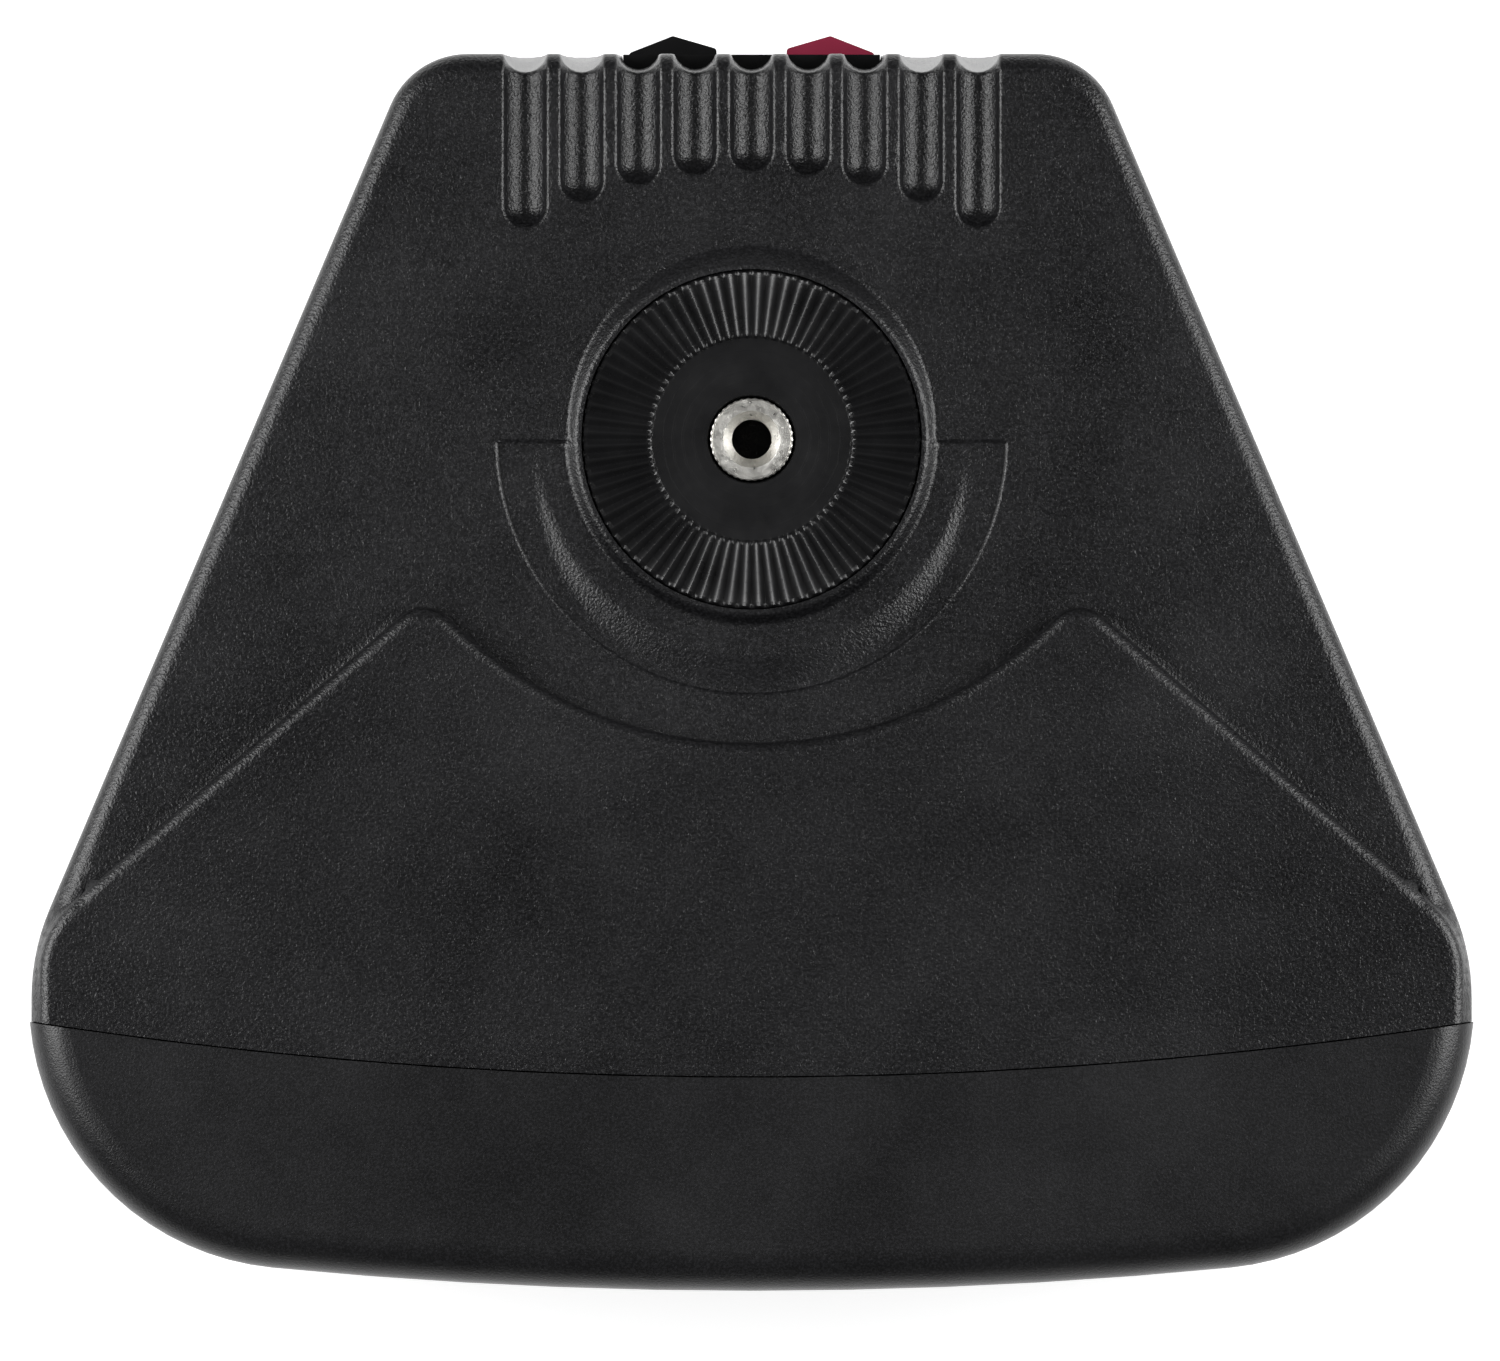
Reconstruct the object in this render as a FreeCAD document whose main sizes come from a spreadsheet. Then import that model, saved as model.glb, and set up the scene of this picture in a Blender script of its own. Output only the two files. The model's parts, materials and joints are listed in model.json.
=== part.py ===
import FreeCAD, Part
import math
import os
import re
import Sketcher
from FreeCAD import Placement, Rotation, Vector

# Compact two-way loudspeaker for a wall bracket, in millimetres.
# Z runs up the speaker's height, the grille faces -Y, and X points right.
# The Z axis is the bracket's pivot axis, through the two threaded inserts in the ends.
# The origin is on that axis where the lower insert's thread starts, inside its chamfer.

SIZES = {
    # Cabinet outline, seen from an end
    "height": 246.0,
    "rest_drop": 5.2,            # raised end face, beyond the insert's first thread
    "back_y": 48.3,              # flat back
    "back_half": 42.5,           # half the back's width, to its sharp corner
    "flare": 22.94,              # lean of each side, degrees
    "belly_half": 90.05,         # half the greatest width of the rear moulding
    "back_corner": 10.5,
    "side_bend": 29.0,
    "wall": 3.0,
    "edge_round": 2.5,
    "front_y": -106.5,           # foremost line of the bowed front
    "front_radius": 621.1,
    "corner_radius": 33.7,
    "bezel_depth": 26.9,         # seam, behind the bowed front
    "bezel_step": 0.35,          # the bezel stands this proud of the rear moulding
    "bezel_round": 5.0,
    "seam_gap": 0.2,
    # End faces
    "plateau_slope": 3.6,        # degrees, falling towards the back
    "plateau_sink": 1.0,         # plateau at the pivot, below the insert's mouth
    "gull_x": 49.8,              # a point on the raised face's slanting edge
    "gull_y": -27.35,
    "gull_lean": 40.9,
    "gull_radius": 54.0,
    "gull_centre": 16.0,
    "gull_peak": 4.4,
    "gull_shoulder": 12.0,
    "raised_inset": 0.9,
    "raised_round": 1.5,
    "dish_floor": 2.0,           # level ring round the boss
    "dish_slope": 5.3,           # width of the scoop's side
    "dish_step": 0.4,
    "dish_lip": 0.7,             # level lip round the scoop
    "groove_count": 9.0,
    "groove_pitch": 7.08,
    "groove_round": 2.68,
    "groove_depth": 2.3,
    "groove_length": 14.8,       # middle groove, from the back
    "groove_arc": 61.0,          # the grooves' ends lie on this arc
    "groove_runout": 34.0,       # along the back face
    # Pivot
    "ring_radius": 21.2,
    "ring_inner": 12.6,
    "ring_thick": 2.2,
    "tooth_high": 0.8,
    "tooth_count": 72.0,
    "tip_proud": 0.3,            # tooth tips, beyond the insert's mouth
    "ring_gap": 0.1,
    "boss_rim": 0.7,             # boss, beyond the toothed ring
    "boss_flare": 2.7,
    "boss_high": 3.2,
    "boss_thick": 3.6,
    "insert_radius": 5.2,
    "insert_length": 12.0,
    "thread_radius": 2.46,
    "insert_chamfer": 1.0,
    "pillar_radius": 9.0,
    # Bezel, baffle and grille
    "well_half": 74.0,
    "well_margin": 16.0,
    "well_corner": 12.0,
    "well_wall": 2.0,
    "baffle_deep": 16.5,         # baffle's face, behind the foremost line
    "baffle_thick": 4.0,
    "grille_inset": 1.2,
    "grille_thick": 1.0,
    "grille_gap": 0.3,
    "grille_flange": 8.0,
    "scrim_gap": 0.2,
    "scrim_thick": 0.6,
    "fixing_x": 66.0,
    "fixing_margin": 24.0,
    "fixing_boss": 4.5,
    "screw_radius": 1.9,
    # Drivers
    "woofer_margin": 86.0,       # woofer axis, above the cabinet's base
    "cone_radius": 47.0,
    "flange_wide": 19.0,         # woofer's rim, beyond the cone
    "woofer_screw_inset": 3.2,
    "driver_fit": 0.4,           # gap round a driver in its hole
    "roll_radius": 4.6,
    "coil_radius": 12.7,
    "pole_radius": 12.0,
    "magnet_radius": 40.0,
    "magnet_thick": 14.0,
    "plate_thick": 5.0,
    "basket_deep": 32.0,
    "tweeter_below": 57.0,       # tweeter axis, below the cabinet's top
    "tweeter_radius": 33.0,
    "tweeter_cutout": 27.0,
    "tweeter_screw_inset": 3.5,
    "dome_radius": 12.5,
    # Terminal and crossover
    "terminal_below": 46.0,      # terminal's middle, below the cabinet's top
    "terminal_half": 16.1,
    "terminal_tall": 56.0,
    "terminal_deep": 15.0,
    "terminal_plate": 2.5,
    "terminal_sink": 1.3,        # its screws' heads lie this far under the plate's face
    "terminal_shelf": 8.0,       # the cup's plate rests this far over the cabinet, above and below
    "terminal_fit": 0.15,
    "cup_wall": 0.35,            # cup's wall beside each lever's well
    "lever_half": 5.5,
    "lever_tall": 17.0,
    "lever_peak": 2.5,
    "lever_deep": 5.0,
    "lever_play": 0.35,          # gap beside each lever
    "lever_pin": 0.8,
    "pin_gap": 0.06,
    "wire_radius": 1.75,
    "board_y": 20.0,
    "board_wide": 60.0,
    "board_tall": 60.0,
    "board_thick": 1.6,
    "board_below": 36.0,         # board's lower edge, below the terminal's middle
    "board_inset": 4.0,          # board's screws, in from its corners
    "pad_wide": 66.0,
    "pad_thick": 12.0,
    "pad_low": 17.2,             # wadding's lower edge, above the cabinet's base
    "pad_clear": 36.8,           # wadding's upper edge, below the board
    "lead_radius": 0.9,
}

doc = FreeCAD.newDocument("Speaker")
sheet = doc.addObject("Spreadsheet::Sheet", "Sizes")
for row, (alias, value) in enumerate(SIZES.items(), 1):
    sheet.set(f"A{row}", alias)
    sheet.set(f"B{row}", str(value))
    sheet.setAlias(f"B{row}", alias)
doc.recompute()
WORD = re.compile("[a-z_]+")
kept = []

BASE = "(0 - rest_drop)"
TOP = "(height - rest_drop)"
MOUTH = "(height - 2 * rest_drop + insert_chamfer)"
MOUTH_LOW = "(0 - insert_chamfer)"
FRONT_CENTRE = "(front_y + front_radius)"
SEAM_RADIUS = "(front_radius - bezel_depth)"
WOOFER_Z = "(woofer_margin - rest_drop)"
TWEETER_Z = "(height - rest_drop - tweeter_below)"
TERMINAL_Z = "(height - rest_drop - terminal_below)"
BOSS_TOP = "(ring_radius + boss_rim)"
BOSS_BASE = "(ring_radius + boss_rim + boss_flare)"
DISH_FLOOR = f"({BOSS_BASE} + dish_floor)"
DISH_RADIUS = f"({DISH_FLOOR} + dish_slope)"
BAFFLE_Y = "(front_y + baffle_deep)"
BAFFLE_BACK = f"({BAFFLE_Y} + baffle_thick)"
WOOFER_RADIUS = "(cone_radius + flange_wide)"
WOOFER_CUTOUT = "(cone_radius + 11.6 + driver_fit)"
LEVER_X = "(terminal_half - cup_wall - lever_play - lever_half)"
LEVER_LOW = f"({TERMINAL_Z} - 1)"
WIRE_Z = f"({TERMINAL_Z} - 12)"
PIVOT_Z = f"({TERMINAL_Z} + 1.2)"
PIVOT_Y = "(back_y - 3)"
PIN_HALF = f"({LEVER_X} + lever_half + lever_play)"
BOARD_LOW = f"({TERMINAL_Z} - board_below)"
TAG_LONG = "(back_y - terminal_deep - board_y - board_thick / 2)"


def size(alias):
    return float(sheet.get(alias))


def bound(text):
    """An expression with the sheet's name put before each of its sizes."""
    return WORD.sub(lambda m: "Sizes." + m.group() if m.group() in SIZES else m.group(), str(text))


def bind(item, prop, text):
    item.setExpression(prop, bound(text))


def place(item, x=0, y=0, z=0, turn=None):
    """Puts an item at x, y, z, each an expression, turned by a Rotation."""
    if turn is not None:
        item.Placement = Placement(Vector(), turn)
    for letter, text in zip("xyz", (x, y, z)):
        bind(item, f"Placement.Base.{letter}", text)
    return item


def keep(item, label):
    """Names a finished sub-part and lists it for writing."""
    item.Label = label
    kept.append(item)
    return item


# ---- bodies, sketches and features -------------------------------------------------

def new_body(name):
    return doc.addObject("PartDesign::Body", name)


def origin_of(body, role):
    return next(f for f in body.Origin.OriginFeatures if f.Role == role)


def sketch_on(body, role, offset=0):
    sketch = body.newObject("Sketcher::SketchObject", body.Name + "_outline")
    sketch.AttachmentSupport = [(origin_of(body, role), "")]
    sketch.MapMode = "FlatFace"
    bind(sketch, "AttachmentOffset.Base.z", offset)
    return sketch


def pin(sketch, geometry, vertex, across, up):
    """Holds one point of a sketch at (across, up), both expressions."""
    for kind, text in (("DistanceX", across), ("DistanceY", up)):
        index = sketch.addConstraint(Sketcher.Constraint(kind, -1, 1, geometry, vertex, 1.0))
        bind(sketch, f"Constraints[{index}]", text)


def polygon(sketch, points):
    """A closed outline of straight lines through points given as expressions."""
    first = sketch.GeometryCount
    count = len(points)
    rough = [Vector(20 * math.cos(i), 20 * math.sin(i), 0) for i in
             (2 * math.pi * k / count for k in range(count))]
    for k in range(count):
        sketch.addGeometry(Part.LineSegment(rough[k], rough[(k + 1) % count]))
    for k in range(count):
        sketch.addConstraint(Sketcher.Constraint("Coincident", first + k, 2,
                                                 first + (k + 1) % count, 1))
    for k, (across, up) in enumerate(points):
        pin(sketch, first + k, 1, across, up)
    return sketch


def circle(sketch, radius, across=0, up=0):
    index = sketch.addGeometry(Part.Circle(Vector(), Vector(0, 0, 1), 5.0))
    pin(sketch, index, 3, across, up)
    radial = sketch.addConstraint(Sketcher.Constraint("Radius", index, 5.0))
    bind(sketch, f"Constraints[{radial}]", radius)
    return sketch


def rectangle(sketch, left, low, right, high):
    return polygon(sketch, [(left, low), (right, low), (right, high), (left, high)])


def pad(sketch, length, reverse=False, middle=False):
    feature = sketch.getParentGeoFeatureGroup().newObject("PartDesign::Pad", "Pad")
    feature.Profile = sketch
    feature.Reversed = reverse
    feature.Midplane = middle
    bind(feature, "Length", length)
    return feature


def pocket(sketch, length, reverse=False, middle=False):
    feature = sketch.getParentGeoFeatureGroup().newObject("PartDesign::Pocket", "Pocket")
    feature.Profile = sketch
    feature.Reversed = reverse
    feature.Midplane = middle
    bind(feature, "Length", length)
    return feature


def revolve(sketch):
    feature = sketch.getParentGeoFeatureGroup().newObject("PartDesign::Revolution", "Revolution")
    feature.Profile = sketch
    feature.ReferenceAxis = (sketch, ["V_Axis"])
    feature.Angle = 360
    return feature


def around(feature, axis, count):
    body = feature.getParentGeoFeatureGroup()
    pattern = body.newObject("PartDesign::PolarPattern", "Pattern")
    pattern.Originals = [feature]
    pattern.Axis = (origin_of(body, axis), [""])
    pattern.Angle = 360
    bind(pattern, "Occurrences", count)
    body.Tip = pattern
    return pattern


def edges_where(shape, test):
    """Names of the edges whose middle point and direction pass a test."""
    names = []
    for k, edge in enumerate(shape.Edges, 1):
        middle = edge.valueAt((edge.FirstParameter + edge.LastParameter) / 2)
        if test(edge, middle):
            names.append(f"Edge{k}")
    return names


def upright(edge):
    line = edge.lastVertex().Point - edge.firstVertex().Point
    return abs(line.x) + abs(line.y) < 0.01 and abs(line.z) > 1


def rounded(body, radius, test):
    """A fillet on the body's edges that pass the test."""
    doc.recompute()
    base = body.Tip
    names = edges_where(base.Shape, test)
    feature = body.newObject("PartDesign::Fillet", "Fillet")
    feature.Base = (base, names)
    bind(feature, "Radius", radius)
    return feature


def turned(name, role, *profiles):
    """A body of revolution about its sketch's upright axis."""
    body = new_body(name)
    for points in profiles:
        revolve(polygon(sketch_on(body, role), points))
    return body


# ---- Part primitives and booleans ----------------------------------------------------

def cylinder(name, radius, length, x=0, y=0, z=0, turn=None, angle=360):
    item = doc.addObject("Part::Cylinder", name)
    bind(item, "Radius", radius)
    bind(item, "Height", length)
    item.Angle = angle
    return place(item, x, y, z, turn)


def box(name, wide, deep, tall, x=0, y=0, z=0):
    """A box centred on x and y, standing on z."""
    item = doc.addObject("Part::Box", name)
    bind(item, "Length", wide)
    bind(item, "Width", deep)
    bind(item, "Height", tall)
    return place(item, f"({x}) - ({wide}) / 2", f"({y}) - ({deep}) / 2", z)


def cut(name, base, *tools):
    item = doc.addObject("Part::Cut", name)
    item.Base = base
    item.Tool = tools[0] if len(tools) == 1 else fuse(name + "_tools", *tools)
    return item


def fuse(name, *parts):
    item = doc.addObject("Part::MultiFuse", name)
    item.Shapes = list(parts)
    return item


def common(name, *parts):
    item = doc.addObject("Part::MultiCommon", name)
    item.Shapes = list(parts)
    return item


def mirrored(name, part):
    """The part turned over about the cabinet's middle height."""
    item = doc.addObject("Part::Mirroring", name)
    item.Source = part
    item.Normal = Vector(0, 0, 1)
    item.Base = Vector(0, 0, size("height") / 2 - size("rest_drop"))
    return item


def feature(name, shape, placement=None):
    item = doc.addObject("Part::Feature", name)
    item.Shape = shape
    if placement is not None:
        item.Placement = placement
    return item


ALONG_Y = Rotation(Vector(1, 0, 0), -90)      # turns +Z to +Y
FACING_FRONT = Rotation(Vector(1, 0, 0), 90)   # turns +Z to -Y
ALONG_X = Rotation(Vector(0, 1, 0), 90)       # turns +Z to +X
HALF_TURN = Rotation(Vector(0, 0, 1), 180)


# ---- rear cabinet ------------------------------------------------------------------------

def cabinet_block(name, inset):
    """The flared cabinet with sloping ends, drawn in by inset on every side."""
    x1 = f"(back_half - ({inset}) * (1 / cos(flare) - tan(flare)))"
    y1 = f"(back_y - ({inset}))"
    x2 = f"(belly_half - ({inset}))"
    y2 = f"({y1} - ({x2} - {x1}) / tan(flare))"
    front = "(front_y - 5)"
    body = new_body(name)
    outline = sketch_on(body, "XY_Plane", f"{BASE} + ({inset})")
    pad(polygon(outline, [(f"0 - {x1}", y1), (f"0 - {x2}", y2), (f"0 - {x2}", front),
                          (x2, front), (x2, y2), (x1, y1)]), f"height - 2 * ({inset})")
    rounded(body, f"back_corner - ({inset})", lambda e, m: upright(e) and m.y > 30)
    rounded(body, f"side_bend - ({inset})", lambda e, m: upright(e) and -90 < m.y < 0)
    fall = "tan(plateau_slope)"
    for sign, level in ((1, f"({MOUTH} - plateau_sink - ({inset}))"),
                        (-1, f"({MOUTH_LOW} + plateau_sink + ({inset}))")):
        reach = f"({level} + {sign} * 150 * {fall})"
        back = f"({level} - {sign} * 100 * {fall})"
        beyond = f"({level} + {sign} * 30)"
        wedge = sketch_on(body, "YZ_Plane")
        polygon(wedge, [("-150", reach), ("100", back), ("100", beyond), ("-150", beyond)])
        pocket(wedge, "400", middle=True)
    return body


def raised_block(name, inset):
    """The raised front part of both ends: slanting shoulders and a round bay."""
    side = f"(belly_half - raised_inset - ({inset}))"
    lean = "tan(gull_lean)"
    apex = f"(gull_y + gull_x * {lean} - ({inset}) / cos(gull_lean))"
    front = "(front_y - 5)"
    shoulder = f"({apex} - {side} * {lean})"
    body = new_body(name)
    outline = sketch_on(body, "XY_Plane", f"{BASE} + ({inset})")
    pad(polygon(outline, [("0", apex), (f"0 - {side}", shoulder), (f"0 - {side}", front),
                          (side, front), (side, shoulder)]), f"height - 2 * ({inset})")
    bay = circle(sketch_on(body, "XY_Plane", f"{BASE} - 1"), f"gull_radius + ({inset})",
                 "0", "gull_centre")
    pocket(bay, "height + 2", reverse=True)
    rounded(body, "gull_peak", lambda e, m: upright(e) and m.y > -45)
    rounded(body, "gull_shoulder", lambda e, m: upright(e) and -100 < m.y < -50)
    return body


def level_edge(edge, middle, heights):
    """True for an edge that lies in one of the level end planes."""
    ends = [v.Point.z for v in edge.Vertexes]
    return any(abs(middle.z - h) < 0.01 and all(abs(z - h) < 0.01 for z in ends) for h in heights)


def mouth_height():
    """Height of the upper insert's mouth."""
    return size("height") - 2 * size("rest_drop") + size("insert_chamfer")


def near_end(middle):
    """True for a point on one of the sloping ends, which the flat back meets lowest."""
    fall = math.tan(math.radians(size("plateau_slope")))
    top = mouth_height() - size("plateau_sink") - middle.y * fall
    low = size("plateau_sink") - size("insert_chamfer") + middle.y * fall
    return abs(middle.z - top) < 0.3 or abs(middle.z - low) < 0.3


def groove_tool(x):
    """A round-nosed cut along the upper end face, over the back edge and out down the back."""
    fall = math.radians(size("plateau_slope"))
    ball = size("groove_round")
    lift = ball - size("groove_depth")
    arc = size("groove_arc")
    back = size("back_y")
    length = size("groove_length") + arc - math.sqrt(arc ** 2 - x ** 2)
    nose_y = back - length + ball
    level = mouth_height() - size("plateau_sink") + lift
    nose = Vector(x, nose_y, level - nose_y * math.tan(fall))
    along = Vector(0, math.cos(fall), -math.sin(fall))
    run = Part.makeCylinder(ball, length + 12, nose, along)
    start = Vector(x, back + lift, level - back * math.tan(fall) + 6)
    leaving = math.atan(size("groove_depth") / size("groove_runout"))
    down = Vector(0, math.sin(leaving), -math.cos(leaving))
    fallen = Part.makeCylinder(ball, size("groove_runout") * 2, start - down * 0.01, down)
    return run.fuse([Part.makeSphere(ball, nose), fallen])


def groove_tools():
    count = int(size("groove_count"))
    places = [(k - (count - 1) / 2) * size("groove_pitch") for k in range(count)]
    upper = Part.makeCompound([groove_tool(x) for x in places])
    middle = Vector(0, 0, size("height") / 2 - size("rest_drop"))
    lower = upper.mirror(middle, Vector(0, 0, 1))
    return feature("groove_tools", Part.makeCompound([upper, lower]))


def dish_tool():
    """The scooped half-disc in front of the upper pivot boss."""
    slab = new_body("dish_slab")
    level = f"({MOUTH} - plateau_sink - dish_step)"
    wedge = sketch_on(slab, "YZ_Plane")
    polygon(wedge, [("-60", f"{level} + 60 * tan(plateau_slope)"),
                    ("10", f"{level} - 10 * tan(plateau_slope)"),
                    ("10", f"{TOP} + 10"), ("-60", f"{TOP} + 10")])
    pad(wedge, "200", middle=True)
    half_disc = cylinder("dish_disc", DISH_RADIUS, "60", z=f"{MOUTH} - 30", turn=HALF_TURN, angle=180)
    sunk = common("dish_sunk", slab, half_disc)
    scoop = doc.addObject("Part::Cone", "dish_scoop")
    bind(scoop, "Radius1", DISH_FLOOR)
    bind(scoop, "Radius2", f"{DISH_RADIUS} - dish_lip")
    bind(scoop, "Height", f"{DISH_RADIUS} * tan(plateau_slope)")
    scoop.Angle = 180
    place(scoop, z=f"{MOUTH} - plateau_sink - dish_step", turn=HALF_TURN)
    return fuse("dish_tool", sunk, scoop)


def pivot_boss():
    """The cone round the toothed ring with the thick plate and pillar behind it."""
    boss = doc.addObject("Part::Cone", "boss_cone")
    bind(boss, "Radius1", BOSS_BASE)
    bind(boss, "Radius2", BOSS_TOP)
    bind(boss, "Height", "boss_high")
    place(boss, z=f"{MOUTH} - boss_high")
    plate = cylinder("boss_plate", f"{DISH_RADIUS} + 1.5", "boss_thick",
                     z=f"{MOUTH} - boss_high * 2")
    pillar = cylinder("boss_pillar", "pillar_radius", "insert_length + 3",
                      z=f"{MOUTH} - insert_length - 3.5")
    return fuse("pivot_boss", boss, plate, pillar)


def pivot_hole():
    ring_seat = cylinder("ring_seat", "ring_radius + ring_gap", "20",
                         z=f"{MOUTH} + tip_proud - tooth_high - ring_thick")
    insert_bore = cylinder("insert_bore", "insert_radius", "insert_length + 20",
                           z=f"{MOUTH} - insert_length")
    return fuse("pivot_hole", ring_seat, insert_bore)


def rear_cabinet():
    outer = cabinet_block("cabinet_outer", "0")
    rounded(outer, "edge_round", lambda e, m: near_end(m) and not upright(e) and m.y > -108)
    raised = raised_block("raised_outer", "0")
    ends = (size("height") - size("rest_drop"), -size("rest_drop"))
    rounded(raised, "raised_round", lambda e, m: level_edge(e, m, ends))
    form = fuse("cabinet_form", outer, raised)
    seam = cylinder("seam_face", f"{SEAM_RADIUS}", "height + 20", y=FRONT_CENTRE, z=f"{BASE} - 10")
    form = common("cabinet_to_seam", form, seam)
    hollow = fuse("cabinet_hollow", cabinet_block("cabinet_inner", "wall"),
                  raised_block("raised_inner", "wall"))
    shell = cut("cabinet_shell", form, hollow)

    dish = dish_tool()
    boss = pivot_boss()
    hole = pivot_hole()
    bare = cut("cabinet_dished", shell, dish, mirrored("dish_lower", dish))
    pads = fixing_pillars() + board_pillars()
    frame = box("terminal_frame", "2 * terminal_half + 9", "6.5", "terminal_tall + 9",
                y="back_y - 5.25", z=f"{TERMINAL_Z} - terminal_tall / 2 - 4.5")
    full = fuse("cabinet_full", bare, boss, mirrored("boss_lower", boss), frame, *pads)
    opening = box("terminal_opening", "2 * (terminal_half + terminal_fit)", "30",
                  "terminal_tall - 2 * (terminal_shelf - terminal_fit)", y="back_y",
                  z=f"{TERMINAL_Z} - terminal_tall / 2 + terminal_shelf - terminal_fit")
    seat = box("terminal_seat", "2 * (terminal_half + terminal_fit)", "10",
               "terminal_tall + 2 * terminal_fit", y="back_y + 5 - terminal_plate",
               z=f"{TERMINAL_Z} - terminal_tall / 2 - terminal_fit")
    tools = [hole, mirrored("hole_lower", hole), groove_tools(), opening, seat]
    tools += screw_holes("fixing_bore", fixing_places(), "1.5", f"{BAFFLE_BACK} - 1", "18")
    tools += screw_holes("terminal_screw_bore", terminal_screw_places(), "1.1", "back_y - 9", "9")
    tools += screw_holes("board_screw_bore", board_screw_places(), "1.2", "board_y", "9")
    return keep(cut("rear_cabinet", full, *tools), "rear_cabinet")


SEAM_AT_FIXING = f"({FRONT_CENTRE} - sqrt({SEAM_RADIUS} ^ 2 - fixing_x ^ 2))"


def fixing_places():
    """Where the four long screws hold the bezel to the cabinet: x and z."""
    heights = ("fixing_margin - rest_drop", "height - rest_drop - fixing_margin")
    return [(f"{sign} * fixing_x", z) for z in heights for sign in (-1, 1)]


def board_screw_places():
    heights = (f"{BOARD_LOW} + board_inset", f"{BOARD_LOW} + board_tall - board_inset")
    return [(f"{sign} * (board_wide / 2 - board_inset)", z) for sign in (-1, 1) for z in heights]


def board_pillars():
    """Pillars on the inside of the back that hold the crossover board."""
    back_of_board = "(board_y + board_thick / 2)"
    length = f"back_y - 1 - {back_of_board}"
    return [cylinder(f"board_pillar_{k}", "3.2", length, x, back_of_board, z, ALONG_Y)
            for k, (x, z) in enumerate(board_screw_places())]


def terminal_screw_places():
    return [("0", f"{TERMINAL_Z} {sign} (terminal_tall / 2 - 4)") for sign in "+-"]


def screw_holes(name, places, radius, y, length):
    return [cylinder(f"{name}_{k}", radius, length, x, y, z, ALONG_Y)
            for k, (x, z) in enumerate(places)]


def fixing_pillars():
    """Screw pillars with a web out to the end wall."""
    pads = []
    for k, (x, z) in enumerate(fixing_places()):
        pads.append(cylinder(f"fixing_pillar_{k}", "fixing_boss", "26",
                             x, f"{BAFFLE_BACK} + 0.2", z, ALONG_Y))
        web_z = f"{BASE} + 1.5" if k < 2 else z
        pads.append(box(f"fixing_web_{k}", "2.4", "14", "fixing_margin - 1.5", x,
                        f"{SEAM_AT_FIXING} + 8", web_z))
    return pads


# ---- front bezel with the baffle --------------------------------------------------------

def bowed_block(name, insets, low, tall):
    """The front's bowed outline with its two big corner rounds, drawn in by the sizes in insets."""
    inset = " + ".join(insets) or "0"
    side = f"(belly_half + bezel_step - ({inset}))"
    body = new_body(name + "_block")
    outline = sketch_on(body, "XY_Plane", low)
    pad(rectangle(outline, f"0 - {side}", "front_y - 5", side, "-40"), tall)
    bow = cylinder(name + "_bow", f"front_radius - ({inset})", "height + 40",
                   y=FRONT_CENTRE, z=f"{BASE} - 20")
    bowed = common(name + "_bowed", body, bow)
    doc.recompute()
    corners = doc.addObject("Part::Fillet", name)
    corners.Base = bowed
    radius = size("corner_radius") - sum(size(alias) for alias in insets)
    names = edges_where(bowed.Shape, lambda e, m: upright(e) and m.y < -60)
    corners.Edges = [(int(n[4:]), radius, radius) for n in names]
    return corners


def well_column(name, grow, back, front="front_y - 20"):
    """A round-cornered upright column through the grille opening, grown by grow."""
    body = new_body(name)
    outline = sketch_on(body, "XZ_Plane")
    half = f"(well_half + ({grow}))"
    low = f"({BASE} + well_margin - ({grow}))"
    high = f"({TOP} - well_margin + ({grow}))"
    rectangle(outline, f"0 - {half}", low, half, high)
    bind(outline, "AttachmentOffset.Base.z", f"0 - ({back})")
    pad(outline, f"({back}) - ({front})")
    rounded(body, f"well_corner + ({grow})",
            lambda e, m: abs((e.lastVertex().Point - e.firstVertex().Point).y) > 1)
    return body


def front_bezel():
    outer = bowed_block("bezel_outer", (), BASE, "height")
    doc.recompute()
    ends = (size("height") - size("rest_drop"), -size("rest_drop"))
    rim = doc.addObject("Part::Fillet", "bezel_rim")
    rim.Base = outer
    names = edges_where(outer.Shape, lambda e, m: level_edge(e, m, ends) and m.y < -45)
    rim.Edges = [(int(n[4:]), size("bezel_round"), size("bezel_round")) for n in names]
    seam = cylinder("bezel_seam", f"{SEAM_RADIUS} + seam_gap", "height + 20",
                    y=FRONT_CENTRE, z=f"{BASE} - 10")
    block = cut("bezel_front", rim, seam)
    hollow = bowed_block("bezel_hollow", ("wall",), f"{BASE} + wall", "height - 2 * wall")
    core = well_column("baffle_core", "well_wall", BAFFLE_BACK)
    plate = box("baffle_plate", "2 * (belly_half - 2)", "baffle_thick", "height - 4",
                y=f"{BAFFLE_BACK} - baffle_thick / 2", z=f"{BASE} + 2")
    room = cut("bezel_room", hollow, core, plate)
    shell = cut("bezel_shell", block, room)
    well = well_column("grille_well", "0", BAFFLE_Y)
    tools = [well,
             cylinder("woofer_hole", WOOFER_CUTOUT, "20", y=f"{BAFFLE_Y} - 5", z=WOOFER_Z, turn=ALONG_Y),
             cylinder("tweeter_hole", "tweeter_cutout", "20", y=f"{BAFFLE_Y} - 5", z=TWEETER_Z, turn=ALONG_Y)]
    tools += screw_holes("fixing_clearance", fixing_places(), "screw_radius + 0.2", f"{BAFFLE_Y} - 5", "20")
    tools += screw_holes("woofer_pilot", woofer_screw_places(), "1.3", f"{BAFFLE_Y} - 1", "20")
    tools += screw_holes("tweeter_pilot", tweeter_screw_places(), "1.1", f"{BAFFLE_Y} - 1", "20")
    return keep(cut("front_bezel", shell, *tools), "front_bezel")


def around_driver(z, radius, count, first):
    """Screw places round a driver: x and z."""
    turns = [first + 360 * k / count for k in range(count)]
    return [(f"{radius} * cos({a})", f"{z} + {radius} * sin({a})") for a in turns]


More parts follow.
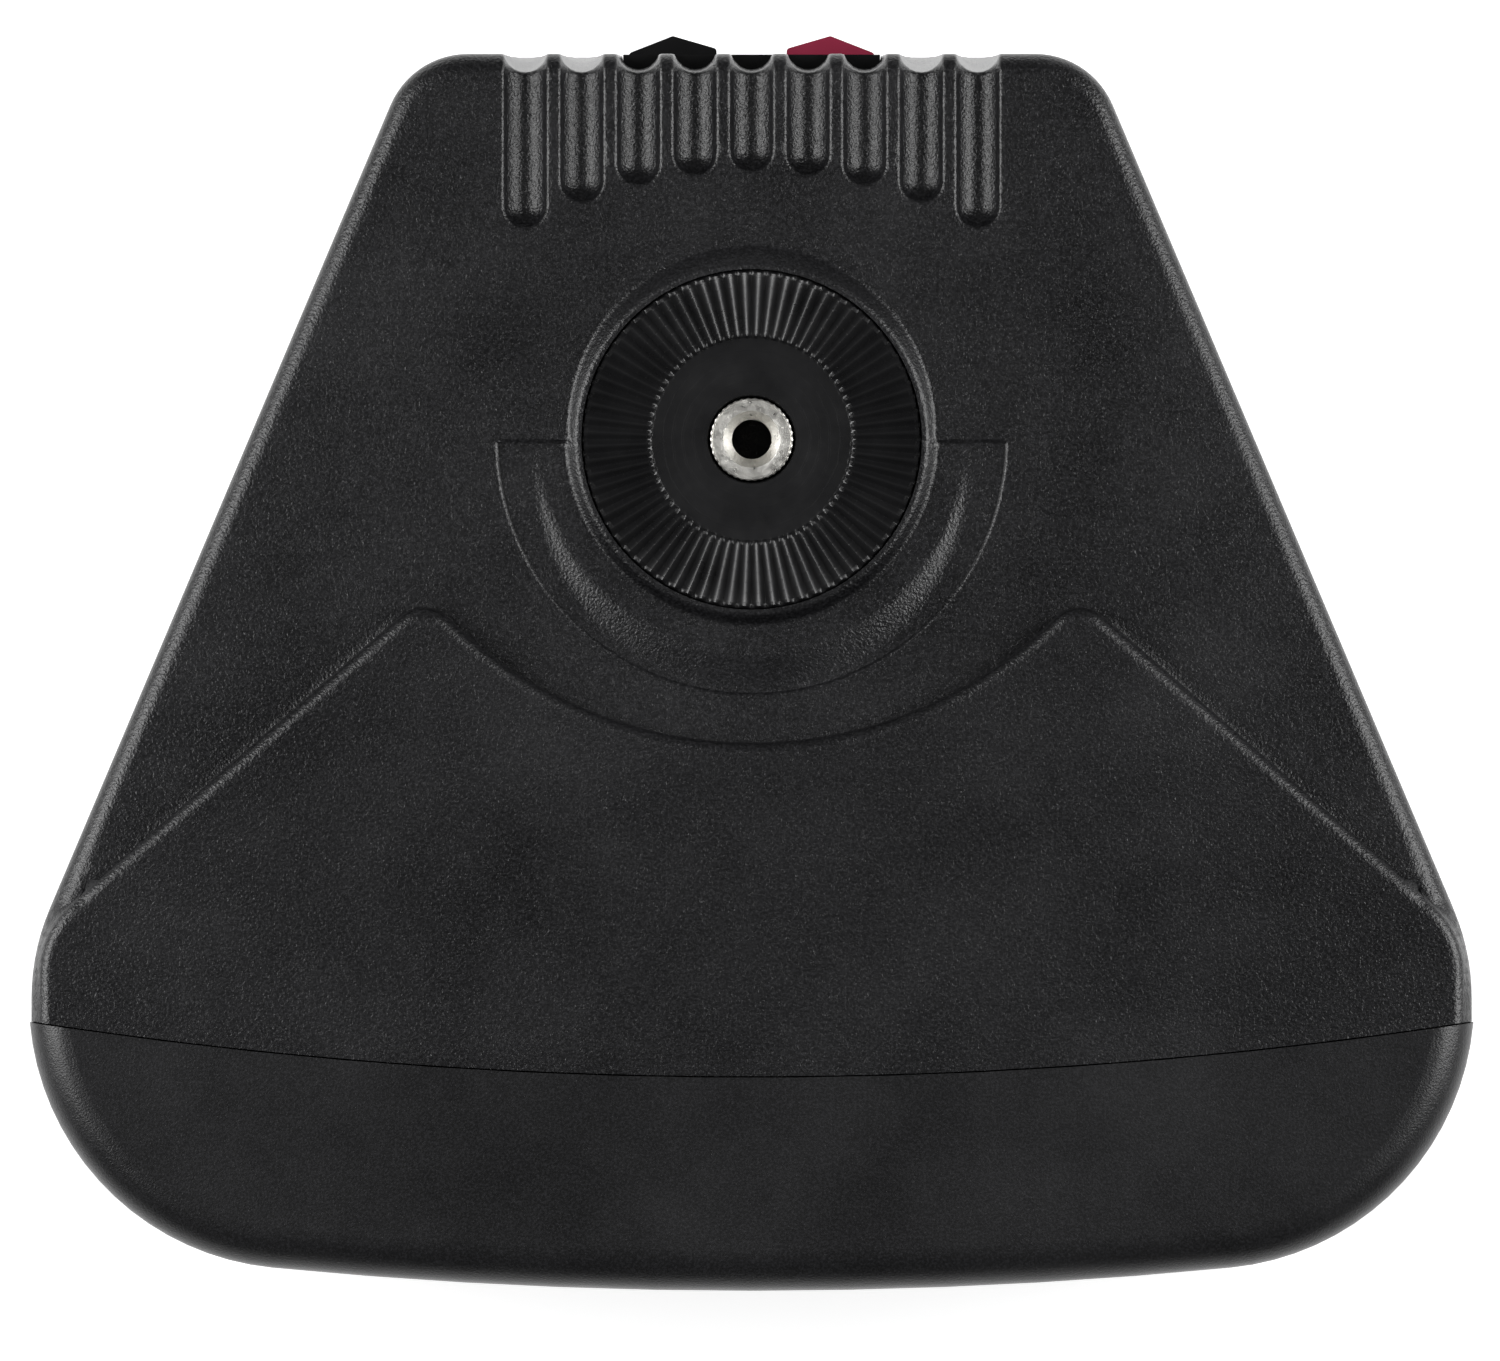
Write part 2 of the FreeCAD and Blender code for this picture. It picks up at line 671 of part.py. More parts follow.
def woofer_screw_places():
    return around_driver(WOOFER_Z, f"({WOOFER_RADIUS} - woofer_screw_inset)", 4, 45)


def tweeter_screw_places():
    return around_driver(TWEETER_Z, "(tweeter_radius - tweeter_screw_inset)", 3, 90)


def grille_parts():
    behind = ("grille_inset", "grille_thick")
    outer = bowed_block("grille_outer", behind[:1], BASE, "height")
    inner = bowed_block("grille_inner", behind, BASE, "height")
    column = well_column("grille_column", "0 - grille_gap", "front_y + grille_flange + 3")
    core = well_column("grille_core", "0 - grille_gap - grille_thick", "front_y + 40")
    cap = common("grille_cap", outer, column)
    room = common("grille_room", inner, core)
    keep(cut("grille", cap, room), "grille")
    cloth_out = bowed_block("scrim_outer", behind + ("scrim_gap",), BASE, "height")
    cloth_in = bowed_block("scrim_inner", behind + ("scrim_gap", "scrim_thick"), BASE, "height")
    sheet_column = well_column("scrim_column", "0 - grille_gap - grille_thick - 0.3", "front_y + 40")
    keep(cut("grille_scrim", common("scrim_cap", cloth_out, sheet_column), cloth_in), "grille_scrim")


# ---- pivot rings and inserts ----------------------------------------------------------

def pivot_ring():
    """A disc with radial V teeth on its outer band, facing up, with its teeth's tips at z = 0."""
    body = new_body("pivot_ring_body")
    disc = sketch_on(body, "XY_Plane", "0 - tooth_high - ring_thick")
    circle(disc, "ring_radius")
    circle(disc, "insert_radius + 0.5")
    pad(disc, "ring_thick")
    root = sketch_on(body, "XZ_Plane", "0 - ring_inner")
    tip = sketch_on(body, "XZ_Plane", "0 - ring_radius + 0.05")
    for profile, radius in ((root, "ring_inner"), (tip, "ring_radius")):
        half = f"({radius} * tan(180 / tooth_count) * 0.94)"
        polygon(profile, [(f"0 - {half}", "0 - tooth_high - 0.3"), (half, "0 - tooth_high - 0.3"),
                          (half, "0 - tooth_high"), ("0.1", "0"), ("-0.1", "0"),
                          (f"0 - {half}", "0 - tooth_high")])
    tooth = body.newObject("PartDesign::AdditiveLoft", "Tooth")
    tooth.Profile = root
    tooth.Sections = [tip]
    around(tooth, "Z_Axis", "tooth_count")
    return body


def pivot_insert():
    """Knurled brass insert with its mouth up at z = 0."""
    body = turned("pivot_insert_body", "XZ_Plane",
                  [("thread_radius", "0 - insert_length"), ("insert_radius - 0.3", "0 - insert_length"),
                   ("insert_radius", "0 - insert_length + 0.6"), ("insert_radius", "-0.25"),
                   ("insert_radius - 0.3", "0"), ("thread_radius + insert_chamfer", "0"),
                   ("thread_radius", "0 - insert_chamfer")])
    return body


def pivots():
    ring = pivot_ring()
    insert = pivot_insert()
    place(ring, z=f"{MOUTH} + tip_proud")
    place(insert, z=MOUTH)
    keep(ring, "pivot_ring_top")
    keep(insert, "pivot_insert_top")
    keep(mirrored("pivot_ring_low", ring), "pivot_ring_bottom")
    keep(mirrored("pivot_insert_low", insert), "pivot_insert_bottom")


# ---- drivers -----------------------------------------------------------------------------
# A driver's body has y = 0 on the baffle's front face and its axis along Y.

def at_woofer(item, label):
    return keep(place(item, 0, BAFFLE_Y, WOOFER_Z), label)


def at_tweeter(item, label):
    return keep(place(item, 0, BAFFLE_Y, TWEETER_Z), label)


def woofer():
    floor = "basket_deep"
    plate = f"({floor} + plate_thick)"
    back = f"({plate} + magnet_thick)"
    neck = f"({floor} - 13)"
    basket = turned("basket_body", "XY_Plane", [
        ("cone_radius + 11", "-3"), (WOOFER_RADIUS, "-3"), (WOOFER_RADIUS, "0"),
        ("cone_radius + 11.6", "0"), ("cone_radius - 2", f"{floor} - 12"), ("cone_radius - 8", floor),
        ("pole_radius + 1.6", floor), ("pole_radius + 1.6", f"{floor} - 1.5"),
        ("cone_radius - 9.5", f"{floor} - 1.5"), ("cone_radius - 12", f"{floor} - 8"),
        ("cone_radius - 4", f"{floor} - 12"), ("cone_radius + 9", "1")])
    window = sketch_on(basket, "XZ_Plane", "2 - basket_deep")
    polygon(window, [("-9", "cone_radius - 1"), ("9", "cone_radius - 1"), ("12", "cone_radius + 7.5"),
                     ("-12", "cone_radius + 7.5")])
    opening = pocket(window, "basket_deep - 5", reverse=True)
    around(opening, "Y_Axis", "6")
    holes = [cylinder(f"basket_hole_{k}", "2.3", "20", x, f"{BAFFLE_Y} - 10", z, ALONG_Y)
             for k, (x, z) in enumerate(woofer_screw_places())]
    place(basket, 0, BAFFLE_Y, WOOFER_Z)
    keep(cut("basket", basket, *holes), "woofer_basket")

    ring = [("cone_radius + 11.1", "-3.6"), ("cone_radius + 11.1", "-5"),
            (f"{WOOFER_RADIUS} - 6.4", "-5"), (f"{WOOFER_RADIUS} - 6.4", "-3.6")]
    at_woofer(turned("gasket_body", "XY_Plane", ring), "woofer_gasket")
    at_woofer(turned("cone_body", "XY_Plane", [
        ("coil_radius", f"{neck}"), ("coil_radius + 9", f"{neck} - 7.5"), ("cone_radius - 9", "2.6"),
        ("cone_radius - 1.5", "-2.4"), ("cone_radius + 1.5", "-2.4"), ("cone_radius + 1.5", "-3"),
        ("cone_radius - 1.8", "-3"), ("cone_radius - 9.4", "1.8"),
        ("coil_radius + 8.6", f"{neck} - 8.4"), ("coil_radius", f"{neck} - 0.9")]), "woofer_cone")
    at_woofer(turned("coil_body", "XY_Plane", [
        ("coil_radius - 0.3", f"{neck} - 0.9"), ("coil_radius", f"{neck} - 0.9"),
        ("coil_radius", f"{floor} - 2"), ("coil_radius + 0.35", f"{floor} - 2"),
        ("coil_radius + 0.35", f"{plate} + 2"), ("coil_radius - 0.3", f"{plate} + 2")]), "woofer_voice_coil")
    dust_cap()
    surround()
    spider(floor, neck)

    washer = [("pole_radius + 1.5", floor), ("magnet_radius - 4", floor),
              ("magnet_radius - 4", plate), ("pole_radius + 1.5", plate)]
    at_woofer(turned("top_plate_body", "XY_Plane", washer), "woofer_top_plate")
    ferrite = [("pole_radius + 8", plate), ("magnet_radius", plate),
               ("magnet_radius", back), ("pole_radius + 8", back)]
    at_woofer(turned("magnet_body", "XY_Plane", ferrite), "woofer_magnet")
    yoke = [("0", back), ("0", f"{floor} - 1"), ("pole_radius", f"{floor} - 1"), ("pole_radius", back),
            ("magnet_radius - 4", back), ("magnet_radius - 4", f"{back} + plate_thick - 1"),
            ("magnet_radius - 5", f"{back} + plate_thick"), ("0", f"{back} + plate_thick")]
    at_woofer(turned("yoke_body", "XY_Plane", yoke), "woofer_yoke")
    strip = box("strip_board", "18", "1.4", "9", 0, f"{BAFFLE_Y} + basket_deep - 9.4",
                f"{WOOFER_Z} + cone_radius - 1")
    tags = [box(f"strip_tag_{k}", "2.8", "7", "0.8", x, f"{BAFFLE_Y} + basket_deep - 5.5",
                f"{WOOFER_Z} + cone_radius + 4.5") for k, x in enumerate(("-5", "5"))]
    keep(fuse("strip", strip, *tags), "woofer_terminals")


def spider(floor, neck):
    """Corrugated cloth disc between the voice coil's neck and the basket's ledge."""
    fold = "((cone_radius - 12 - coil_radius) / 5.575)"
    folds = [(f"coil_radius + {turns} * {fold}", rise) for turns, rise in
             ((1.25, 3.1), (2.25, 1.7), (3.25, 3.1), (4.25, 1.7))]
    upper = [(across, f"{neck} + {rise}") for across, rise in folds]
    under = [(across, f"{neck} + {rise} - 0.5") for across, rise in reversed(folds)]
    at_woofer(turned("spider_body", "XY_Plane", [
        ("coil_radius + 0.35", f"{neck} + 1.5"), *upper, ("cone_radius - 11.9", f"{floor} - 8.6"),
        ("cone_radius - 4.2", f"{floor} - 12.6"), ("cone_radius - 4.2", f"{floor} - 13.1"),
        ("cone_radius - 12.2", f"{floor} - 9.1"), *under, ("coil_radius + 0.35", f"{neck} + 1")]),
        "woofer_spider")


def dome(name, radius, rise, thick):
    """A shallow spherical cap along Y: its rim of that radius lies at y = 0 and it bulges to -y."""
    sphere = (radius ** 2 + rise ** 2) / (2 * rise)
    centre = Vector(0, sphere - rise, 0)
    shell = Part.makeSphere(sphere, centre).cut(Part.makeSphere(sphere - thick, centre))
    slab = Part.makeBox(2 * sphere + 2, rise, 2 * sphere + 2, Vector(-sphere - 1, -rise, -sphere - 1))
    return feature(name, shell.common(slab))


def dust_cap():
    cap = dome("dust_cap", size("coil_radius") + 5.5, 5.0, 0.5)
    keep(place(cap, 0, f"{BAFFLE_Y} + basket_deep - 18.7", WOOFER_Z), "woofer_dust_cap")


def surround():
    """Half-roll rubber edge between the cone and the basket's flange."""
    middle = "(cone_radius + 1.7 + roll_radius)"
    outer = doc.addObject("Part::Torus", "roll_outer")
    bind(outer, "Radius1", middle)
    bind(outer, "Radius2", "roll_radius")
    inner = doc.addObject("Part::Torus", "roll_inner")
    bind(inner, "Radius1", middle)
    bind(inner, "Radius2", "roll_radius - 0.6")
    for torus in (outer, inner):
        place(torus, 0, f"{BAFFLE_Y} - 3", WOOFER_Z, ALONG_Y)
    tube = cut("roll_tube", outer, inner)
    front = box("roll_front", "140", "20", "140", 0, f"{BAFFLE_Y} - 13", f"{WOOFER_Z} - 70")
    lips = turned("roll_lips", "XY_Plane",
                  [("cone_radius - 1.2", "-3"), ("cone_radius + 1.9", "-3"),
                   ("cone_radius + 1.9", "-3.6"), ("cone_radius - 1.2", "-3.6")],
                  [("cone_radius + 10.7", "-3"), (f"{WOOFER_RADIUS} - 6.4", "-3"),
                   (f"{WOOFER_RADIUS} - 6.4", "-3.6"), ("cone_radius + 10.7", "-3.6")])
    place(lips, 0, BAFFLE_Y, WOOFER_Z)
    keep(fuse("surround", common("roll", tube, front), lips), "woofer_surround")


def tweeter():
    face = turned("faceplate_body", "XY_Plane", [
        ("dome_radius + 2", "0"), ("dome_radius + 2", "-1"), ("dome_radius + 9", "-3"),
        ("tweeter_radius - 1", "-3"), ("tweeter_radius", "-2"), ("tweeter_radius", "0"),
        ("tweeter_cutout - 1", "0"), ("tweeter_cutout - 1", "2"), ("dome_radius + 2", "2")])
    place(face, 0, BAFFLE_Y, TWEETER_Z)
    holes = [cylinder(f"faceplate_hole_{k}", "1.8", "20", x, f"{BAFFLE_Y} - 10", z, ALONG_Y)
             for k, (x, z) in enumerate(tweeter_screw_places())]
    keep(cut("faceplate", face, *holes), "tweeter_faceplate")
    cap = dome("tweeter_cap", size("dome_radius"), 4.5, 0.35)
    keep(place(cap, 0, f"{BAFFLE_Y} + 1.2", TWEETER_Z), "tweeter_dome")
    at_tweeter(turned("tweeter_coil_body", "XY_Plane", [
        ("dome_radius - 0.35", "1.2"), ("dome_radius", "1.2"), ("dome_radius", "5"),
        ("dome_radius - 0.35", "5")]), "tweeter_voice_coil")
    at_tweeter(turned("tweeter_plate_body", "XY_Plane", [
        ("dome_radius + 0.4", "2.3"), ("tweeter_cutout - 3", "2.3"), ("tweeter_cutout - 3", "5"),
        ("dome_radius + 0.4", "5")]), "tweeter_top_plate")
    at_tweeter(turned("tweeter_magnet_body", "XY_Plane", [
        ("dome_radius + 2.5", "5"), ("tweeter_cutout - 1", "5"), ("tweeter_cutout - 1", "13"),
        ("dome_radius + 2.5", "13")]), "tweeter_magnet")
    at_tweeter(turned("tweeter_yoke_body", "XY_Plane", [
        ("0", "2.3"), ("dome_radius - 0.75", "2.3"), ("dome_radius - 0.75", "13"),
        ("tweeter_cutout - 3", "13"), ("tweeter_cutout - 3", "16"), ("0", "16")]), "tweeter_yoke")
    keep(box("lug_board", "16", "1.4", "8", "-2", f"{BAFFLE_Y} + 16.7", f"{TWEETER_Z} - 4"),
         "tweeter_terminals")


# ---- terminal cup and crossover ------------------------------------------------------------

def terminal():
    deep = "(terminal_deep - terminal_plate)"
    z_low = f"({TERMINAL_Z} - terminal_tall / 2)"
    plate = box("cup_plate", "2 * terminal_half", "terminal_plate", "terminal_tall",
                y="back_y - terminal_plate / 2", z=z_low)
    block = box("cup_block", "2 * terminal_half", deep, "terminal_tall - 2 * terminal_shelf",
                y=f"back_y - terminal_plate - {deep} / 2", z=f"{z_low} + terminal_shelf")
    tools = screw_holes("cup_screw_hole", terminal_screw_places(), "1.5", "back_y - 6", "10")
    tools += screw_holes("cup_screw_sink", terminal_screw_places(), "2.55",
                         "back_y - terminal_sink", "5")
    for k, sign in enumerate(("-", "")):
        x = f"{sign}{LEVER_X}"
        tools.append(box(f"lever_well_{k}", "2 * (lever_half + lever_play)", "12", "lever_tall + 2.6",
                         x, "back_y - 5.5", LEVER_LOW + " - 0.8"))
        tools.append(cylinder(f"wire_bore_{k}", "wire_radius", "10", x, "back_y - 9.5", WIRE_Z, ALONG_Y))
    tools.append(cylinder("cup_pin_bore", "lever_pin", f"2 * {PIN_HALF}",
                          f"0 - {PIN_HALF}", PIVOT_Y, PIVOT_Z, ALONG_X))
    keep(cut("cup", fuse("cup_solid", plate, block), *tools), "terminal_cup")
    keep(cylinder("pin", "lever_pin", f"2 * {PIN_HALF}", f"0 - {PIN_HALF}", PIVOT_Y, PIVOT_Z, ALONG_X),
         "lever_pin")
    tags = [box(f"tag_{k}", "3", TAG_LONG, "0.8", f"{sign}{LEVER_X}",
                f"back_y - terminal_deep - {TAG_LONG} / 2", WIRE_Z) for k, sign in enumerate(("-", ""))]
    keep(fuse("tags", *tags), "terminal_tags")
    for side, colour in ((-1, "black"), (1, "red")):
        lever(side, "terminal_lever_" + colour)
        spring(side, "lever_spring_" + colour)


def lever(side, label):
    """A push lever with a ridged outer face; its outer shoulder is the lower one."""
    body = new_body(label + "_body")
    profile = sketch_on(body, "XY_Plane", LEVER_LOW)
    outer, inner, ridge = (f"{side} * ({LEVER_X} + {reach} * lever_half)" for reach in (1, -1, 0))
    polygon(profile, [(inner, "back_y - lever_deep"), (outer, "back_y - lever_deep"),
                      (outer, "back_y + 0.35"), (ridge, "back_y + lever_peak"),
                      (inner, "back_y + 0.9")])
    pad(profile, "lever_tall")
    rounded(body, "0.5", lambda e, m: upright(e) and m.y > size("back_y"))
    nose = sketch_on(body, "YZ_Plane")
    polygon(nose, [("back_y - lever_deep - 1", f"{LEVER_LOW} - 1"),
                   ("back_y - lever_deep - 1", f"{LEVER_LOW} + 4"),
                   ("back_y - lever_deep + 2.5", f"{LEVER_LOW} - 1")])
    pocket(nose, "60", middle=True)
    bore = cylinder(label + "_bore", "lever_pin + pin_gap", "60", "-30", PIVOT_Y, PIVOT_Z, ALONG_X)
    keep(cut(label + "_bored", body, bore), label)


def spring(side, label):
    """A bent steel leaf in the well under its lever."""
    body = new_body(label + "_body")
    leaf = sketch_on(body, "YZ_Plane", f"{side} * {LEVER_X}")
    low = f"({LEVER_LOW} + 2.5)"
    polygon(leaf, [("back_y - 11.5", low), ("back_y - 11.5", f"{low} + 12"),
                   ("back_y - lever_deep - 0.4", f"{low} + 13.4"),
                   ("back_y - lever_deep - 0.4", f"{low} + 13"),
                   ("back_y - 11.1", f"{low} + 11.6"), ("back_y - 11.1", low)])
    pad(leaf, "5", middle=True)
    keep(body, label)


def crossover():
    base = f"({BOARD_LOW})"
    board = box("board", "board_wide", "board_thick", "board_tall", y="board_y", z=base)
    holes = screw_holes("board_hole", board_screw_places(), "1.6", "board_y - 5", "10")
    keep(cut("board_drilled", board, *holes), "crossover_board")
    front = "board_y - 0.8"
    coil = doc.addObject("Part::Cylinder", "inductor_wind")
    coil.Radius = 14
    coil.Height = 10
    place(coil, "-13", front, f"{base} + 27", FACING_FRONT)
    hole = cylinder("inductor_core", "6", "12", "-13", "board_y", f"{base} + 27", FACING_FRONT)
    keep(cut("inductor", coil, hole), "crossover_inductor")
    cans = [cylinder(f"capacitor_{k}", "5.5", "24", x, f"{front} - 5.6", f"{base} + 12", None)
            for k, x in enumerate(("9", "21"))]
    keep(fuse("capacitors", *cans), "crossover_capacitors")
    keep(box("resistor", "24", "8", "9", "-12", f"{front} - 4", f"{base} + 44"), "crossover_resistor")


# ---- screws ----------------------------------------------------------------------------------

def screws(label, places, head, shank, length, head_y, direction=ALONG_Y, rise=1.8):
    """Pan-head screws: heads on the plane head_y, shanks going into the work."""
    solids = []
    sign = 1 if direction == ALONG_Y else -1
    for k, (x, z) in enumerate(places):
        top = cylinder(f"{label}_head_{k}", head, rise, x, f"({head_y}) - {sign} * {rise}", z, direction)
        cross = [box(f"{label}_slot_{k}{i}", w, "1.8", t, x, f"({head_y}) - {sign} * {rise}",
                     f"{z} - ({t}) / 2") for i, (w, t) in enumerate((("0.8", f"{head}"), (f"{head}", "0.8")))]
        shaft = cylinder(f"{label}_shank_{k}", shank, f"{length} + 0.1",
                         x, f"({head_y}) - {sign} * 0.1", z, direction)
        solids.append(cut(f"{label}_{k}", fuse(f"{label}_solid_{k}", top, shaft), *cross))
    doc.recompute()
    group = feature(label + "_group", Part.makeCompound([s.Shape for s in solids]))
    keep(group, label)


def all_screws():
    screws("bezel_screws", fixing_places(), "3.6", "1.5", "20", BAFFLE_Y)
    screws("woofer_screws", woofer_screw_places(), "3", "1.3", "12", f"{BAFFLE_Y} - 3")
    screws("tweeter_screws", tweeter_screw_places(), "2.6", "1.1", "11", f"{BAFFLE_Y} - 3")
    screws("terminal_screws", terminal_screw_places(), "2.4", "1.1", "8 - terminal_sink",
           "back_y - terminal_sink", FACING_FRONT, "1.2")
    screws("board_screws", board_screw_places(), "2.6", "1.2", "7", "board_y - board_thick / 2")


# ---- leads and wadding ---------------------------------------------------------------------

def lead(label, route):
    """A round lead along straight runs joined by tangent arcs."""
    radius = size("lead_radius")
    points = [Vector(*p) for p in route]
    edges = []
    start = points[0]
    for before, corner, after in zip(points, points[1:], points[2:]):
        arriving = (corner - before).normalize()
        leaving = (after - corner).normalize()
        turn = arriving.getAngle(leaving)
        shorter = min((corner - before).Length, (after - corner).Length)
        reach = 0.45 * shorter
        bend = reach / math.tan(turn / 2)
        enter = corner - arriving * reach
        leave = corner + leaving * reach
        inward = (leaving - arriving).normalize()
        middle = corner + inward * (bend / math.cos(turn / 2) - bend)
        edges.append(Part.LineSegment(start, enter).toShape())
        edges.append(Part.Arc(enter, middle, leave).toShape())
        print(f"{label}: bend of {bend:.1f} mm")
        start = leave
    edges.append(Part.LineSegment(start, points[-1]).toShape())
    path = Part.Wire(edges)
    ring = Part.Wire([Part.Circle(points[0], points[1] - points[0], radius).toShape()])
    tube = path.makePipeShell([ring], True, True)
    share = tube.Volume / (math.pi * radius ** 2 * path.Length)
    print(f"{label}: {path.Length:.0f} mm long, volume {share:.3f} of the sum")
    keep(feature(label + "_tube", tube), label)


def leads():
    board = size("board_y")
    terminal_z = size("height") - size("rest_drop") - size("terminal_below")
    woofer_z = size("woofer_margin") - size("rest_drop")
    baffle = size("front_y") + size("baffle_deep")
    tag_y = baffle + size("basket_deep") - 2
    tag_z = woofer_z + size("cone_radius") + 4.9
    board_low = terminal_z - size("board_below")
    face = board - size("board_thick") / 2
    for x, colour in ((-5, "black"), (5, "red")):
        lead("lead_woofer_" + colour, [
            (x, tag_y, tag_z), (x, tag_y + 9, tag_z), (x * 1.3, tag_y + 22, tag_z + 8),
            (x * 1.2, tag_y + 42, tag_z + 15), (x * 1.6, face - 14, board_low + 1),
            (x * 1.6, face - 0.4, board_low + 5)])
    tweeter_z = size("height") - size("rest_drop") - size("tweeter_below")
    lug_y = baffle + 17.4
    for x, colour in ((-6, "black"), (2, "red")):
        lead("lead_tweeter_" + colour, [
            (x, lug_y, tweeter_z), (x, lug_y + 11, tweeter_z), (x + 6, lug_y + 28, tweeter_z + 5),
            (x + 12, lug_y + 52, tweeter_z + 12), (x + 20, face - 15, board_low + 49),
            (x + 20, face - 0.4, board_low + 52)])


def wadding():
    """A soft pad along the lower back of the cabinet."""
    keep(box("wadding_block", "pad_wide", "pad_thick", f"{BOARD_LOW} - {BASE} - pad_low - pad_clear",
             y="back_y - wall - 0.6 - pad_thick / 2", z=f"{BASE} + pad_low"), "damping_pad")


rear_cabinet()
front_bezel()
grille_parts()
pivots()
woofer()
tweeter()
terminal()
crossover()
all_screws()
leads()
wadding()
doc.recompute()

faults = [o.Name for o in doc.Objects if "Invalid" in o.State or "Error" in o.State]
if faults:
    raise SystemExit(f"these objects failed: {faults}")
os.makedirs("parts", exist_ok=True)
for item in kept:
    shape = item.Shape
    if shape.isNull() or not shape.isValid():
        raise SystemExit(f"{item.Label} has a bad shape")
    shape.exportStep(f"parts/{item.Label}.step")
    print(f"{item.Label}: {shape.Volume / 1000:.2f} cm3, {len(shape.Solids)} solids")
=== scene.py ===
import json
import math

import bmesh
import bpy
import numpy as np
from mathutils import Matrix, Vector
from mathutils.geometry import delaunay_2d_cdt


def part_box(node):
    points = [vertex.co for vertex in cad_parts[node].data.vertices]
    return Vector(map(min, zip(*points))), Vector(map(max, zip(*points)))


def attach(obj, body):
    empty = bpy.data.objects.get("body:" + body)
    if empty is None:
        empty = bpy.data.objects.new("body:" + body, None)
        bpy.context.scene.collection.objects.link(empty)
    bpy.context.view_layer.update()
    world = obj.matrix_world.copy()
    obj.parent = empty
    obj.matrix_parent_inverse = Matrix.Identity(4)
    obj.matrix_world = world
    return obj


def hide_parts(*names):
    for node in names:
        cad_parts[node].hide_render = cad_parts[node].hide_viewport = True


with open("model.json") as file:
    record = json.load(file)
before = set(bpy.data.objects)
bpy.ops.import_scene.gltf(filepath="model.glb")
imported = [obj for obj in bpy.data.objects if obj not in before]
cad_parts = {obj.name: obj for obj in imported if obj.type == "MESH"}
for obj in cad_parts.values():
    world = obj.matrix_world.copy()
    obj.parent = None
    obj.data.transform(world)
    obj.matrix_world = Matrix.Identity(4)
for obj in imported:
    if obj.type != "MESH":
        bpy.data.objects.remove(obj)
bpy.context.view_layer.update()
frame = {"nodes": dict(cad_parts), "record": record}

MM = 0.001


def box_mm(node):
    """Lowest and highest corner of a node of the frame, in millimetres."""
    low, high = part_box(node)
    return np.array(low) / MM, np.array(high) / MM


# Places that the frame gives, in millimetres.
cabinet_low, cabinet_high = box_mm("rear_cabinet")
TOP_Z = cabinet_high[2]
MIDDLE_Z = (cabinet_low[2] + cabinet_high[2]) / 2
BELLY = cabinet_high[0]
MOUTH_Z = box_mm("pivot_insert_top")[1][2]

# The cabinet's plan: the seam's circle, the side's bend, the flare, the back corner and the flat back.
BACK_Y = 48.3
SEAM_CENTRE, SEAM_RADIUS = 514.6, 594.2
FLARE = math.radians(22.94)
BEND_Y, BEND_RADIUS = -69.95, 29.0
CORNER, CORNER_RADIUS = (35.543, 37.8), 10.5
EDGE_RADIUS = 2.5
EDGE_TURNS = EDGE_RADIUS * (1 - np.sin(np.radians([76, 62, 48, 34, 20, 8, 0])))
WALL = 2.2
CABINET_CREASE = 46

# The end face: a sloping plateau, and a level front that stands above it with a gull-shaped edge.
PLATEAU_DROP = 1.0
PLATEAU_SLOPE = math.tan(math.radians(3.6))
FRONT_SIDE = BELLY - 0.9
FRONT_CORNER, FRONT_CORNER_RADIUS = (FRONT_SIDE - 12.0, -66.91), 12.0
LEAN = math.radians(49.1)
PEAK, PEAK_RADIUS = (41.02, -25.57), 4.4
BAY_Y, BAY_RADIUS = 16.0, 54.0
PEAK_END = math.atan2(BAY_Y - PEAK[1], -PEAK[0])
FRONT_EDGE = 1.5
STEP_LEAN = 14.0

# The seat of the pivot ring: a boss, and a dish cut into the plateau before it.
SEAT_HOLE = 21.3
SEAT_FOOT_Z = 233.9
POCKET, POCKET_Z = 5.4, 222.0
BOSS_RIM, BOSS_RUN = 21.9, 0.84375
DISH_RADIUS, DISH_FOOT, DISH_FLOOR_Z, DISH_RISE = 31.9, 26.6, 235.2, 0.4363
DISH_STEP = 0.4
SOFT = 0.3

# The loose net of points between the features of the end face is this far apart.
NET = 3.1

# Nine round-bottomed grooves run over the back edge and die out on the back.
GROOVES = np.arange(-4, 5)
GROOVE_STEP, GROOVE_RADIUS, GROOVE_LIFT, GROOVE_DEPTH = 7.08, 2.68, 0.38, 2.3
GROOVE_LIP = 0.5
LIP_AT = math.sqrt((GROOVE_RADIUS + GROOVE_LIP) ** 2 - (GROOVE_LIP + GROOVE_LIFT) ** 2)
LIP_START = LIP_AT * GROOVE_RADIUS / (GROOVE_RADIUS + GROOVE_LIP)
NOSE_SETBACK, NOSE_SWEEP = 14.8, 61.0
RUN_OUT, RUN_OUT_SOFT = 34.0, 0.12
ACROSS = np.array([0.7, 1.4, 2.09, 2.35, LIP_START, 2.72, 2.88, LIP_AT, 3.4])

# The opening for the terminal cup, in the back.
CUP_HALF, CUP_TOP, CUP_FOOT = 16.25, 222.95, 166.65

# The heights at which the wall is cut, down to where the grooves have run out.
WALL_LEVELS = [230.6, 229.5, 227.2, 225.0, CUP_TOP, *range(220, 195, -3)]


# ---------------------------------------------------------------- meshes

def grid_faces(rows, columns, ring=False, loop=False):
    """Quads of a grid whose points run row by row. A ring joins the last column to the first,
    and a loop joins the last row to the first."""
    r, c = np.meshgrid(np.arange(rows - (not loop)), np.arange(columns - (not ring)), indexing="ij")
    right = (c + 1) % columns
    above = (r + 1) % rows
    quads = [r * columns + c, r * columns + right, above * columns + right, above * columns + c]
    return np.stack(quads, -1).reshape(-1, 4)


